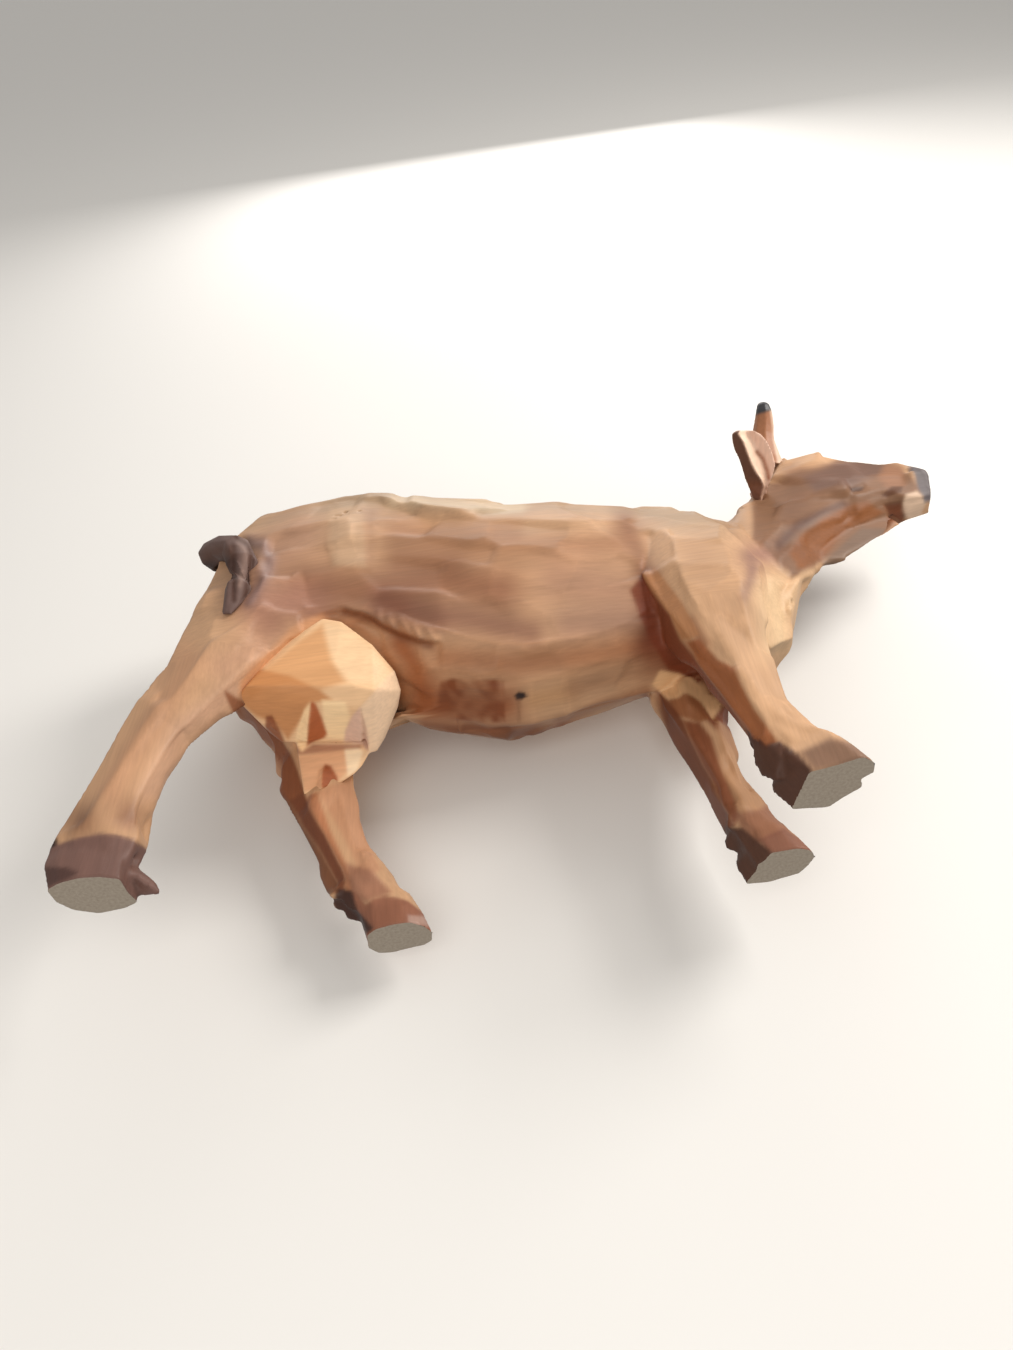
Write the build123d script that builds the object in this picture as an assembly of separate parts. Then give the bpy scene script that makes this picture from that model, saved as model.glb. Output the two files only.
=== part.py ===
from build123d import *
import os

# A carved wooden cow, standing. +X is forward, +Y is the cow's left, +Z is up, soles on Z = 0.

# Driving sizes of the whole animal, in millimetres
body_length = 150.0        # from the pin bones to the point of the brisket
back_height = 120.0        # from the soles to the line of the back
hip_width = 48.0           # across the hip bones

# Heights and place of the glued joints between the blocks
foreleg_joint_height = 54.0
hind_joint_height = 60.0
neck_joint_setback = 1.0   # from the point of the brisket back to the joint of the neck

# Horns, ears and tail, each with a round tenon in a drilled socket
tenon_radius = 1.3
tenon_length = 4.0
tenon_clearance = 0.15
horn_length = 20.0
horn_base_radius = 3.1
horn_tip_radius = 1.9
ear_length = 17.0
ear_width = 12.5
ear_thickness = 3.6
tail_root_radius = 3.9

# Udder, hooves and the carver's holding hole
udder_depth = 15.0
teat_length = 9.5
teat_radius = 3.6
dewclaw_radius = 2.4
dewclaw_length = 3.4
cleft_length = 4.5
cleft_width = 1.7
cleft_height = 9.0
mouth_length = 9.0
mouth_width = 0.8
hip_bone_width = 12.0
hip_bone_height = 20.0
eye_radius = 3.0
eye_rise = 0.8
holding_hole_radius = 1.0
holding_hole_depth = 8.0

half_hip = hip_width / 2
neck_joint_reach = body_length - neck_joint_setback
overrun = body_length

# Half outlines of the knife sections: shares of the half width, and of the half reach
# from the middle of the section to its first point, listed from the first point down
rump_outline_shares = [(0, 1), (0.48, 0.98), (0.83, 0.88), (0.98, 0.62), (0.93, 0), (0.78, -0.80), (0.45, -1)]
flank_outline_shares = [(0, 1), (0.46, 0.98), (0.82, 0.87), (0.98, 0.60), (0.96, 0), (0.88, -0.7), (0.48, -1)]
barrel_outline_shares = [(0, 1), (0.36, 0.96), (0.68, 0.82), (0.92, 0.52), (1, 0), (0.67, -0.87), (0.34, -1)]
chest_outline_shares = [(0, 1), (0.26, 0.95), (0.54, 0.81), (0.82, 0.52), (1, 0), (0.76, -0.84), (0.40, -1)]
neck_outline_shares = [(0.26, 1), (0.74, 0.60), (1, 0), (0.80, -0.60), (0.34, -1)]
head_outline_shares = [(0.42, 1), (0.88, 0.64), (1, 0.05), (0.78, -0.62), (0.36, -1)]
limb_outline_shares = [(0.50, 1), (1, 0.45), (1, -0.45), (0.50, -1)]
udder_outline_shares = [(0.42, 1), (0.95, 0.52), (1, -0.40), (0.55, -1)]

# The trunk from the pin bones forward: place along, top, belly and half width
trunk_shares = [
    (0.000, 0.925, 0.717, 0.33, rump_outline_shares),
    (0.033, 0.975, 0.633, 0.60, rump_outline_shares),
    (0.083, 1.020, 0.558, 0.88, rump_outline_shares),
    (0.193, 1.048, 0.521, 0.97, rump_outline_shares),
    (0.300, 1.052, 0.517, 0.99, flank_outline_shares),
    (0.340, 1.047, 0.508, 0.98, flank_outline_shares),
    (0.387, 1.004, 0.463, 0.94, flank_outline_shares),
    (0.520, 0.985, 0.404, 0.97, barrel_outline_shares),
    (0.667, 0.979, 0.421, 0.90, barrel_outline_shares),
    (0.773, 0.988, 0.454, 0.77, chest_outline_shares),
    (0.867, 0.979, 0.471, 0.69, chest_outline_shares),
    (0.947, 0.925, 0.479, 0.58, chest_outline_shares),
]
brisket_shares = (0.800, 0.487, 0.36)

# Neck and head: top point and bottom point of each section (along, height), half width
neck_shares = [
    (0.800, 0.933, 0.907, 0.517, 0.42),
    (0.927, 0.908, 1.013, 0.575, 0.43),
    (0.973, 0.929, 1.060, 0.704, 0.42),
    (1.007, 0.958, 1.093, 0.758, 0.39),
]
head_shares = [
    (1.043, 1.017, 1.120, 0.796, 0.38),
    (1.087, 1.100, 1.150, 0.821, 0.40),
    (1.167, 1.117, 1.197, 0.850, 0.41),
    (1.223, 1.083, 1.230, 0.871, 0.35),
    (1.283, 1.054, 1.263, 0.887, 0.28),
    (1.327, 1.038, 1.300, 0.892, 0.29),
    (1.357, 1.004, 1.337, 0.896, 0.23),
]

# Limbs: front point and back point of each section (along, height), middle across, half width.
# Heights of the upper parts are shares of the back height, and those of a leg of its joint's height.
# A leg's first row (front, back, across, half width) is the level section at its glued joint.
right_shoulder_shares = [
    (0.900, 0.840, 0.833, 0.867, 0.28, 0.26),
    (0.933, 0.760, 0.800, 0.800, 0.40, 0.36),
    (0.950, 0.667, 0.780, 0.700, 0.46, 0.39),
    (0.953, 0.567, 0.770, 0.600, 0.51, 0.39),
]
right_foreleg_shares = [
    (0.935, 0.783, 0.55, 0.345),
    (0.920, 0.85, 0.797, 0.87, 0.56, 0.29),
    (0.912, 0.67, 0.813, 0.68, 0.56, 0.25),
    (0.911, 0.54, 0.827, 0.56, 0.57, 0.23),
    (0.911, 0.39, 0.843, 0.39, 0.58, 0.21),
    (0.927, 0.26, 0.852, 0.25, 0.59, 0.21),
    (0.953, 0.15, 0.853, 0.15, 0.6, 0.23),
    (0.977, 0.00, 0.880, 0.00, 0.6, 0.22),
]
left_shoulder_shares = [
    (0.900, 0.840, 0.833, 0.867, 0.28, 0.26),
    (0.933, 0.760, 0.800, 0.800, 0.40, 0.36),
    (0.937, 0.667, 0.780, 0.700, 0.46, 0.39),
    (0.920, 0.567, 0.760, 0.600, 0.48, 0.39),
]
left_foreleg_shares = [
    (0.873, 0.763, 0.47, 0.31),
    (0.863, 0.89, 0.770, 0.91, 0.46, 0.27),
    (0.860, 0.74, 0.783, 0.74, 0.45, 0.24),
    (0.857, 0.56, 0.800, 0.56, 0.43, 0.22),
    (0.860, 0.41, 0.808, 0.41, 0.4, 0.2),
    (0.880, 0.26, 0.813, 0.24, 0.38, 0.2),
    (0.897, 0.15, 0.810, 0.15, 0.37, 0.22),
    (0.913, 0.00, 0.820, 0.00, 0.36, 0.2),
]
right_thigh_shares = [
    (0.267, 0.933, 0.080, 0.933, 0.42, 0.40),
    (0.280, 0.817, 0.040, 0.817, 0.48, 0.42),
    (0.267, 0.700, 0.020, 0.700, 0.50, 0.43),
    (0.240, 0.600, 0.007, 0.617, 0.53, 0.40),
]
right_hind_leg_shares = [
    (0.180, 0.000, 0.58, 0.345),
    (0.143, 0.87, -0.013, 0.97, 0.58, 0.31),
    (0.100, 0.77, -0.030, 0.83, 0.57, 0.26),
    (0.057, 0.63, -0.040, 0.70, 0.55, 0.23),
    (0.033, 0.48, -0.053, 0.52, 0.54, 0.21),
    (0.024, 0.33, -0.070, 0.35, 0.53, 0.22),
    (0.027, 0.22, -0.092, 0.20, 0.51, 0.23),
    (0.033, 0.10, -0.096, 0.08, 0.5, 0.24),
    (0.023, 0.00, -0.080, 0.00, 0.48, 0.22),
]
left_thigh_shares = [
    (0.280, 0.933, 0.080, 0.933, 0.42, 0.40),
    (0.307, 0.817, 0.040, 0.817, 0.48, 0.43),
    (0.333, 0.700, 0.027, 0.700, 0.51, 0.43),
    (0.340, 0.600, 0.040, 0.633, 0.55, 0.39),
]
left_hind_leg_shares = [
    (0.323, 0.097, 0.625, 0.285),
    (0.300, 0.90, 0.120, 0.97, 0.645, 0.245),
    (0.280, 0.77, 0.140, 0.80, 0.625, 0.23),
    (0.277, 0.63, 0.163, 0.63, 0.62, 0.22),
    (0.280, 0.50, 0.193, 0.50, 0.62, 0.2),
    (0.300, 0.37, 0.220, 0.35, 0.62, 0.2),
    (0.327, 0.25, 0.240, 0.22, 0.62, 0.21),
    (0.360, 0.13, 0.260, 0.12, 0.62, 0.23),
    (0.389, 0.00, 0.295, 0.00, 0.62, 0.21),
]

# The udder (front, back, height from the joint as a share of its depth, half width): the upper part
# on the trunk, the glued joint, then the hanging bag
groin_shares = [(0.350, 0.173, 0.93, 0.72), (0.357, 0.180, 0.40, 0.62)]
udder_joint_shares = (0.355, 0.175, 0.56)
udder_shares = [(0.345, 0.172, -0.40, 0.56), (0.328, 0.178, -0.80, 0.50), (0.305, 0.195, -1.00, 0.38)]
teat_place_shares = [(0.212, 0.25), (0.300, 0.25)]
teat_height_share = -0.76

# Shares of the small pieces' own sizes: rows run from the root or the top to the tip
horn_stretch_shares = (0.35, 0.35, 0.30)
horn_upturn_shares = (0, 0.6, 1.4)
horn_taper_shares = (1, 1, 0.7, 0.3, 0)
ear_row_shares = [
    (-0.15, 0.36, 0.9),
    (0.12, 0.42, 0.9),
    (0.38, 0.86, 1.0),
    (0.68, 1.00, 0.8),
    (0.92, 0.72, 0.5),
    (1.00, 0.42, 0.3),
]
ear_shell_shares = [
    (1, 0),
    (0.6, 0.62),
    (0, 1),
    (-0.6, 0.62),
    (-1, 0),
    (-0.5, -0.18),
    (0, 0.18),
    (0.5, -0.18),
]
ear_sink_share = 0.4
teat_row_shares = [(0.10, 0.45), (-0.55, 1.0), (-0.90, 0.6)]
hip_bone_row_shares = [(-0.5, 1.2), (0, 1), (0.1, 0.6)]
dewclaw_across_shares = (-0.5, 0.5)
dewclaw_tip_share = 0.35
eye_crown_share = 0.35
horn_spot_share = 1.15
tail_spot_share = 1.2
mouth_depth_share = 0.8

# Places on the side view and across: along, height, across
horn_root_shares = (1.083, 1.083, 0.20)
horn_lean_shares = (0.10, 0.62, 1.0)
ear_root_shares = (1.033, 0.945, 0.32)
ear_lean_shares = (-0.10, 1.0, 0.48)
hip_bone_outline_shares = [(0, 1), (0.85, 0.55), (1, -0.35), (0.3, -1), (-0.7, -0.85), (-1, 0.3)]
hip_bone_shares = (0.292, 0.832, 0.97)
eye_shares = (1.170, 1.060, 0.37)
mouth_shares = (1.350, 0.928)
holding_hole_shares = (0.547, -0.11)
tail_route_shares = [
    (0.070, 0.985, -0.13, 1.00),
    (0.040, 0.985, -0.30, 0.98),
    (0.018, 0.952, -0.47, 0.95),
    (0.025, 0.908, -0.67, 0.92),
    (0.058, 0.871, -0.84, 0.90),
    (0.093, 0.825, -0.94, 1.00),
    (0.113, 0.750, -0.96, 1.05),
    (0.115, 0.667, -0.95, 0.90),
    (0.103, 0.592, -0.90, 0.40),
]


def at(along_share, height_share, across_share=0):
    """A point of the animal from its shares of the body length, back height and half hip width."""
    return Vector(body_length * along_share, half_hip * across_share, back_height * height_share)


def carved(rings):
    """A block with flat knife facets between rings of points that match one to one."""
    facets = [Face(Wire.make_polygon(rings[0])), Face(Wire.make_polygon(rings[-1]))]
    for ring, following in zip(rings, rings[1:]):
        heart = sum(ring + following, Vector(0, 0, 0)) / (len(ring) + len(following))
        for index in range(len(ring)):
            a, b, c, d = ring[index - 1], ring[index], following[index], following[index - 1]
            if ((a + c) / 2 - heart).length < ((b + d) / 2 - heart).length:
                a, b, c, d = b, c, d, a
            facets.append(Face(Wire.make_polygon([a, b, c])))
            facets.append(Face(Wire.make_polygon([a, c, d])))
    return Solid(Shell(facets))


def knife_section(first, last, half_width, half_outline_shares):
    """The ring of a section square to the middle plane, between two points of the side view."""
    middle = (first + last) / 2
    reach = (first - last) / 2
    side = Vector(0, half_width, 0)
    right_half = [middle + reach * up + side * across for across, up in half_outline_shares]
    left_half = [middle + reach * up - side * across for across, up in half_outline_shares if across > 0]
    return right_half + left_half[::-1]


def trunk_sections():
    """Upright sections of the trunk, ending at the joint of the neck with the brisket's tip."""
    sections = []
    for along, top, belly, width, outline in trunk_shares:
        sections.append(knife_section(at(along, top), at(along, belly), half_hip * width, outline))
    top, bottom, width = brisket_shares
    first = Vector(neck_joint_reach, 0, back_height * top)
    last = Vector(neck_joint_reach, 0, back_height * bottom)
    sections.append(knife_section(first, last, half_hip * width, chest_outline_shares))
    return sections


def sloped_sections(rows, outline):
    """Sections between a top and a bottom point of the side view, on the middle plane."""
    sections = []
    for top_along, top_height, bottom_along, bottom_height, width in rows:
        top = at(top_along, top_height)
        bottom = at(bottom_along, bottom_height)
        sections.append(knife_section(top, bottom, half_hip * width, outline))
    return sections


def limb_sections(rows, full_height, side):
    """Sections of a limb between its front and back edge, on one side of the middle plane."""
    sections = []
    for front_along, front_height, back_along, rear_height, across, width in rows:
        middle = half_hip * side * across
        front = Vector(body_length * front_along, middle, full_height * front_height)
        back = Vector(body_length * back_along, middle, full_height * rear_height)
        sections.append(knife_section(front, back, half_hip * width, limb_outline_shares))
    return sections


def level_section(row, height, side):
    """The level section of a limb at its glued joint."""
    front_along, back_along, across, width = row
    shift = Vector(0, side * half_hip * across, height)
    front = Vector(body_length * front_along, 0, 0) + shift
    back = Vector(body_length * back_along, 0, 0) + shift
    return knife_section(front, back, half_hip * width, limb_outline_shares)


def limb(upper_rows, leg_rows, joint_height, side):
    """The part of a limb that is carved on the trunk, and the leg glued below it."""
    joint = level_section(leg_rows[0], joint_height, side)
    upper = carved(limb_sections(upper_rows, back_height, side) + [joint])
    leg = carved([joint] + limb_sections(leg_rows[1:], joint_height, side))
    return upper, leg


def whittled_rod(points, radii, sides, broad_axis=Vector(1, 0, 0)):
    """A faceted rod along a route, with as many flat sides as given."""
    sections = []
    for index, point in enumerate(points):
        before = points[max(index - 1, 0)]
        after = points[min(index + 1, len(points) - 1)]
        direction = (after - before).normalized()
        plane = Plane(origin=point, x_dir=broad_axis - direction * broad_axis.dot(direction), z_dir=direction)
        outline = RegularPolygon(radius=radii[index], side_count=sides)
        sections.append([plane.from_local_coords(Vector(corner)) for corner in outline.vertices()])
    return carved(sections)


def finished_leg(leg, rows, joint_height, side):
    """A leg trimmed to the blank, with its two dewclaws and the cleft of its hoof."""
    leg = leg - blank
    pastern = rows[-3]
    sole = rows[-1]
    for across_share in dewclaw_across_shares:
        across = side * pastern[4] + across_share * pastern[5]
        heel = Vector(body_length * pastern[2], half_hip * across, joint_height * pastern[3])
        start = heel + Vector(dewclaw_radius, 0, 0)
        tip = start + Vector(-dewclaw_length, 0, -dewclaw_radius)
        radii = [dewclaw_radius, dewclaw_radius * dewclaw_tip_share]
        leg += whittled_rod([start, tip], radii, 5, Vector(0, 1, 0))
    toe = Vector(body_length * sole[0], half_hip * side * sole[4], 0)
    notch_corner = (-cleft_length, cleft_width)
    notch = Polygon((cleft_length, 0), notch_corner, (-cleft_length, -cleft_width), align=None)
    cutter = extrude(Rot(0, 0, 180) * notch, cleft_height)
    return leg - Pos(toe.X, toe.Y, 0) * cutter


def seat_of(root, lean):
    """The flat seat of a horn, ear or tail: its origin is the root and its normal leads outward."""
    return Plane(origin=root, x_dir=Vector(lean.Z, 0, -lean.X).normalized(), z_dir=lean)


def socket(carrier, seat, spot_radius):
    """The carrier with a flat spot and a drilled hole for a tenon."""
    spot = seat * Pos(0, 0, spot_radius / 2) * Cylinder(radius=spot_radius, height=spot_radius)
    hole_depth = tenon_length + tenon_clearance
    hole_radius = tenon_radius + tenon_clearance
    hole = seat * Pos(0, 0, -hole_depth / 2) * Cylinder(radius=hole_radius, height=hole_depth)
    return carrier - spot - hole


def tenoned(piece, seat):
    """The piece trimmed at its seat, with its tenon below."""
    below = seat * Pos(0, 0, -overrun / 2) * Box(overrun, overrun, overrun)
    tenon = seat * Pos(0, 0, -tenon_length / 2) * Cylinder(radius=tenon_radius, height=tenon_length)
    return piece - below + tenon


def horn(root, lean):
    """A short blunt horn that turns upward from its root."""
    points = [root - lean * horn_base_radius, root]
    for stretch, upturn in zip(horn_stretch_shares, horn_upturn_shares):
        direction = (lean + Vector(0, 0, upturn)).normalized()
        points.append(points[-1] + direction * (horn_length * stretch))
    radii = [horn_tip_radius + (horn_base_radius - horn_tip_radius) * share for share in horn_taper_shares]
    return whittled_rod(points, radii, 7)


def hip_bone(middle, side):
    """The flat boss over a hip bone, upright on the side of the rump."""
    rings = []
    for depth_share, size_share in hip_bone_row_shares:
        points = []
        for wide, tall in hip_bone_outline_shares:
            offset = Vector(hip_bone_width / 2 * wide, 0, hip_bone_height / 2 * tall) * size_share
            points.append(middle + offset + Vector(0, side * hip_bone_width * depth_share, 0))
        rings.append(points)
    return carved(rings)


def ear(root, lean):
    """A leaf-shaped ear with a hollow under side."""
    sections = []
    for reach, width, thickness in ear_row_shares:
        plane = Plane(origin=root + lean * (ear_length * reach), x_dir=(1, 0, 0), z_dir=lean)
        half_chord = ear_width / 2 * width
        depth = ear_thickness * thickness
        points = [(half_chord * wide, depth * (deep - ear_sink_share)) for wide, deep in ear_shell_shares]
        sections.append([plane.from_local_coords(Vector(*point, 0)) for point in points])
    return carved(sections)


def udder_section(front_along, back_along, height, width):
    """A level section of the udder, at a height from its joint."""
    level = hind_joint_height + udder_depth * height
    front = Vector(body_length * front_along, 0, level)
    back = Vector(body_length * back_along, 0, level)
    return knife_section(front, back, half_hip * width, udder_outline_shares)


def teat(root):
    """A short wedge-like teat, wide at its lower end."""
    points = [root + Vector(0, 0, teat_length * drop) for drop, width in teat_row_shares]
    return whittled_rod(points, [teat_radius * width for drop, width in teat_row_shares], 6)


# The blank: trunk, shoulders, thighs, groin, neck and head carved in one line
trunk = carved(trunk_sections())
neck_sections = sloped_sections(neck_shares, neck_outline_shares)
neck_and_head = carved(neck_sections + sloped_sections(head_shares, head_outline_shares))
right_shoulder, right_foreleg = limb(right_shoulder_shares, right_foreleg_shares, foreleg_joint_height, -1)
left_shoulder, left_foreleg = limb(left_shoulder_shares, left_foreleg_shares, foreleg_joint_height, 1)
right_thigh, right_hind_leg = limb(right_thigh_shares, right_hind_leg_shares, hind_joint_height, -1)
left_thigh, left_hind_leg = limb(left_thigh_shares, left_hind_leg_shares, hind_joint_height, 1)

udder_front, udder_back, udder_width = udder_joint_shares
udder_joint = udder_section(udder_front, udder_back, 0, udder_width)
groin_sections = [udder_section(*row) for row in groin_shares]
bag_sections = [udder_section(*row) for row in udder_shares]
groin = carved(groin_sections + [udder_joint])
udder = carved([udder_joint] + bag_sections)
for along_share, across_share in teat_place_shares:
    for side in (-1, 1):
        place = Vector(body_length * along_share, half_hip * side * across_share, hind_joint_height)
        udder += teat(place + Vector(0, 0, udder_depth * teat_height_share))

blank = trunk + right_shoulder + left_shoulder + right_thigh + left_thigh + groin + neck_and_head
for side in (-1, 1):
    along_share, height_share, across_share = hip_bone_shares
    blank += hip_bone(at(along_share, height_share, side * across_share), side)
    along_share, height_share, across_share = eye_shares
    base = at(along_share, height_share, side * across_share) - Vector(0, side * eye_radius, 0)
    crown = base + Vector(0, side * (eye_radius + eye_rise), 0)
    blank += whittled_rod([base, crown], [eye_radius, eye_radius * eye_crown_share], 6)

# The mouth is one cut across the muzzle, and the holding hole is drilled up into the belly
mouth_along, mouth_height = mouth_shares
lips = at(mouth_along, mouth_height)
mouth_profile = Polygon((0, 0), (mouth_length, mouth_width), (mouth_length, -mouth_width), align=None)
mouth_start = lips - Vector(mouth_length * mouth_depth_share, 0, 0)
mouth_cut = Plane(origin=mouth_start, x_dir=(1, 0, 0), z_dir=(0, -1, 0)) * mouth_profile
blank -= extrude(mouth_cut, amount=half_hip, both=True)
hole_along, hole_across = holding_hole_shares
hole_place = Vector(body_length * hole_along, half_hip * hole_across, 0)
belly_height = back_height * trunk_shares[7][2]
hole_top = belly_height + holding_hole_depth
blank -= Pos(hole_place.X, hole_place.Y, hole_top / 2) * Cylinder(radius=holding_hole_radius, height=hole_top)

# Horns, ears and tail are let into the blank
added = {}
for side, name in ((-1, "right"), (1, "left")):
    for kind, root_shares, lean_shares, maker, spot_radius in (
        ("horn", horn_root_shares, horn_lean_shares, horn, horn_base_radius * horn_spot_share),
        ("ear", ear_root_shares, ear_lean_shares, ear, ear_width / 2),
    ):
        root = at(root_shares[0], root_shares[1], side * root_shares[2])
        lean = Vector(lean_shares[0], side * lean_shares[1], lean_shares[2]).normalized()
        seat = seat_of(root, lean)
        blank = socket(blank, seat, spot_radius)
        added[f"{name}_{kind}"] = tenoned(maker(root, lean), seat)

tail_points = [at(*row[:3]) for row in tail_route_shares]
tail_radii = [tail_root_radius * row[3] for row in tail_route_shares]
tail_lean = (tail_points[1] - tail_points[0]).normalized()
tail_seat = seat_of(tail_points[0], tail_lean)
blank = socket(blank, tail_seat, tail_root_radius * tail_spot_share)
tail = whittled_rod(tail_points, tail_radii, 7, Vector(0, 0, 1)) - blank
added["tail"] = tenoned(tail, tail_seat)

# The blank parts at the joint of the neck
neck_joint = Plane(origin=(neck_joint_reach, 0, 0), x_dir=(0, 1, 0), z_dir=(1, 0, 0))
body = split(blank, bisect_by=neck_joint, keep=Keep.BOTTOM)
head = split(blank, bisect_by=neck_joint, keep=Keep.TOP)

legs = {
    "right_foreleg": finished_leg(right_foreleg, right_foreleg_shares, foreleg_joint_height, -1),
    "left_foreleg": finished_leg(left_foreleg, left_foreleg_shares, foreleg_joint_height, 1),
    "right_hind_leg": finished_leg(right_hind_leg, right_hind_leg_shares, hind_joint_height, -1),
    "left_hind_leg": finished_leg(left_hind_leg, left_hind_leg_shares, hind_joint_height, 1),
}
for name in ("right_hind_leg", "left_hind_leg"):
    udder -= legs[name]
nodes = {"body": body - udder, "head": head, "udder": udder, **legs, **added}

# The origin is the middle of the standing animal's bounding box, on the soles
box = Compound(children=[Part(node.wrapped) for node in nodes.values()]).bounding_box()
centred = Pos(-box.center().X, -box.center().Y, -box.min.Z)

os.makedirs("parts", exist_ok=True)
for name, node in nodes.items():
    placed = centred * node
    print(name, len(placed.solids()), round(placed.volume), placed.is_valid)
    export_step(placed, f"parts/{name}.step")
print("box", box.size, "middle", box.center())
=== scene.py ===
import math
import bpy
import bmesh
import numpy as np
from mathutils import Matrix, Vector
from mathutils.bvhtree import BVHTree
from mathutils.kdtree import KDTree


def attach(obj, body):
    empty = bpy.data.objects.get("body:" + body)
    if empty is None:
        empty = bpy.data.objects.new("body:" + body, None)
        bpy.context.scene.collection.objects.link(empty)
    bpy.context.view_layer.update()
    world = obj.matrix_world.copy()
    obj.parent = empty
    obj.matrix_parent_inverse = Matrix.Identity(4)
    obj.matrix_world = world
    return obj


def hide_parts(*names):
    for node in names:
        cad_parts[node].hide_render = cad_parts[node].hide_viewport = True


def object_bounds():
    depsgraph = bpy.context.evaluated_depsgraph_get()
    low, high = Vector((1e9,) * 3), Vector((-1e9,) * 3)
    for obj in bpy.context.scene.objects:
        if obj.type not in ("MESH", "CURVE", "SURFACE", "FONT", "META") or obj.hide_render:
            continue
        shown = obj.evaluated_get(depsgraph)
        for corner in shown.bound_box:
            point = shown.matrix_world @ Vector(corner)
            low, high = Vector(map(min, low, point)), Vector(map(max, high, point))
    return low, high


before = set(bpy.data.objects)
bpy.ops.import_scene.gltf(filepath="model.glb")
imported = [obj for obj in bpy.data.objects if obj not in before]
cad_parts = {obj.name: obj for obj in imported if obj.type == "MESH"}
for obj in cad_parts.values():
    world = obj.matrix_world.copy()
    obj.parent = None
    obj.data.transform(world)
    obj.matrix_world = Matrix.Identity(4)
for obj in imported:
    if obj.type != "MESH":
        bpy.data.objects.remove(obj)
cad_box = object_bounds()
bpy.context.scene.view_settings.view_transform = "Standard"

# The place where the cow is shown. It lies on its left side on a pale table, seen from its
# right side and from below its soles. A pale floor under the soles is there for the views
# from above, and both boards show only their upper faces.
photo_width, photo_height = 1013, 1350
focal_pixels, film_height = 1009, 36
sight_pitch, sight_yaw, camera_roll = (math.radians(angle) for angle in (40.63, -1.54, -7.95))
eye = Vector((-0.00824, -0.15886, -0.12570))
sight = Vector((
    math.sin(sight_yaw),
    math.cos(sight_yaw) * math.sin(sight_pitch),
    math.cos(sight_yaw) * math.cos(sight_pitch),
))
level_right = (Vector((1, 0, 0)) - sight * sight.x).normalized()
level_up = level_right.cross(sight)
picture_right = level_right * math.cos(camera_roll) + level_up * math.sin(camera_roll)
picture_up = level_up * math.cos(camera_roll) - level_right * math.sin(camera_roll)

camera_data = bpy.data.cameras.new("camera")
camera_data.sensor_fit = "VERTICAL"
camera_data.sensor_height = film_height
camera_data.lens = film_height * focal_pixels / photo_height
camera_data.clip_start = 0.01
camera = bpy.data.objects.new("camera", camera_data)
turn = Matrix((picture_right, picture_up, -sight)).transposed()
camera.matrix_world = Matrix.Translation(eye) @ turn.to_4x4()
bpy.context.scene.collection.objects.link(camera)
bpy.context.scene.camera = camera


def new_material(name):
    """A material with its nodes, links and shader."""
    material = bpy.data.materials.new(name)
    material.use_nodes = True
    nodes = material.node_tree.nodes
    return material, nodes, material.node_tree.links, nodes["Principled BSDF"]


board_reach, floor_level, table_depth = 3.0, -0.0004, 0.0275
board_paint = (0.78, 0.77, 0.75)


def pale_board(name, corners):
    """A large pale board that shows only its upper face and throws no shade."""
    mesh = bpy.data.meshes.new(name)
    mesh.from_pydata(corners, [], [tuple(range(len(corners)))])
    board = bpy.data.objects.new(name, mesh)
    bpy.context.scene.collection.objects.link(board)
    board.visible_shadow = False
    board.visible_diffuse = False
    board.visible_glossy = False
    paint, nodes, links, shader = new_material(name)
    shader.inputs["Base Color"].default_value = (*board_paint, 1)
    shader.inputs["Roughness"].default_value = 0.9
    shader.inputs["Specular IOR Level"].default_value = 0.1
    clear = nodes.new("ShaderNodeBsdfTransparent")
    side = nodes.new("ShaderNodeNewGeometry")
    mix = nodes.new("ShaderNodeMixShader")
    links.new(side.outputs["Backfacing"], mix.inputs["Fac"])
    links.new(shader.outputs["BSDF"], mix.inputs[1])
    links.new(clear.outputs["BSDF"], mix.inputs[2])
    links.new(mix.outputs["Shader"], nodes["Material Output"].inputs["Surface"])
    mesh.materials.append(paint)


board_corners = [(board_reach * a, board_reach * b) for a, b in ((-1, -1), (1, -1), (1, 1), (-1, 1))]
pale_board("floor", [(x, y, floor_level) for x, y in board_corners])
pale_board("table", [(x, table_depth, z) for x, z in board_corners])

# The air round it: a soft warm glow on the cow, and a brighter one where the eye looks past the boards
world = bpy.data.worlds.new("room")
world.use_nodes = True
bpy.context.scene.world = world
room_nodes, room_links = world.node_tree.nodes, world.node_tree.links
room_nodes["Background"].inputs["Color"].default_value = (1.0, 0.97, 0.93, 1)
ray = room_nodes.new("ShaderNodeLightPath")
strength = room_nodes.new("ShaderNodeMapRange")
glow_on_cow, glow_in_view = 0.52, 0.80
strength.inputs["To Min"].default_value = glow_on_cow
strength.inputs["To Max"].default_value = glow_in_view
room_links.new(ray.outputs["Is Camera Ray"], strength.inputs["Value"])
room_links.new(strength.outputs["Result"], room_nodes["Background"].inputs["Strength"])
lamp_aim = Vector((0, 0, 0.07))


def soft_lamp(name, place, size, power, colour):
    """A square diffuser lamp that shines on the cow."""
    lamp_data = bpy.data.lights.new(name, "AREA")
    lamp_data.shape = "SQUARE"
    lamp_data.size = size
    lamp_data.energy = power
    lamp_data.color = colour
    lamp = bpy.data.objects.new(name, lamp_data)
    lamp.location = place
    lamp.rotation_euler = (lamp_aim - Vector(place)).to_track_quat("-Z", "Y").to_euler()
    bpy.context.scene.collection.objects.link(lamp)


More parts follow.
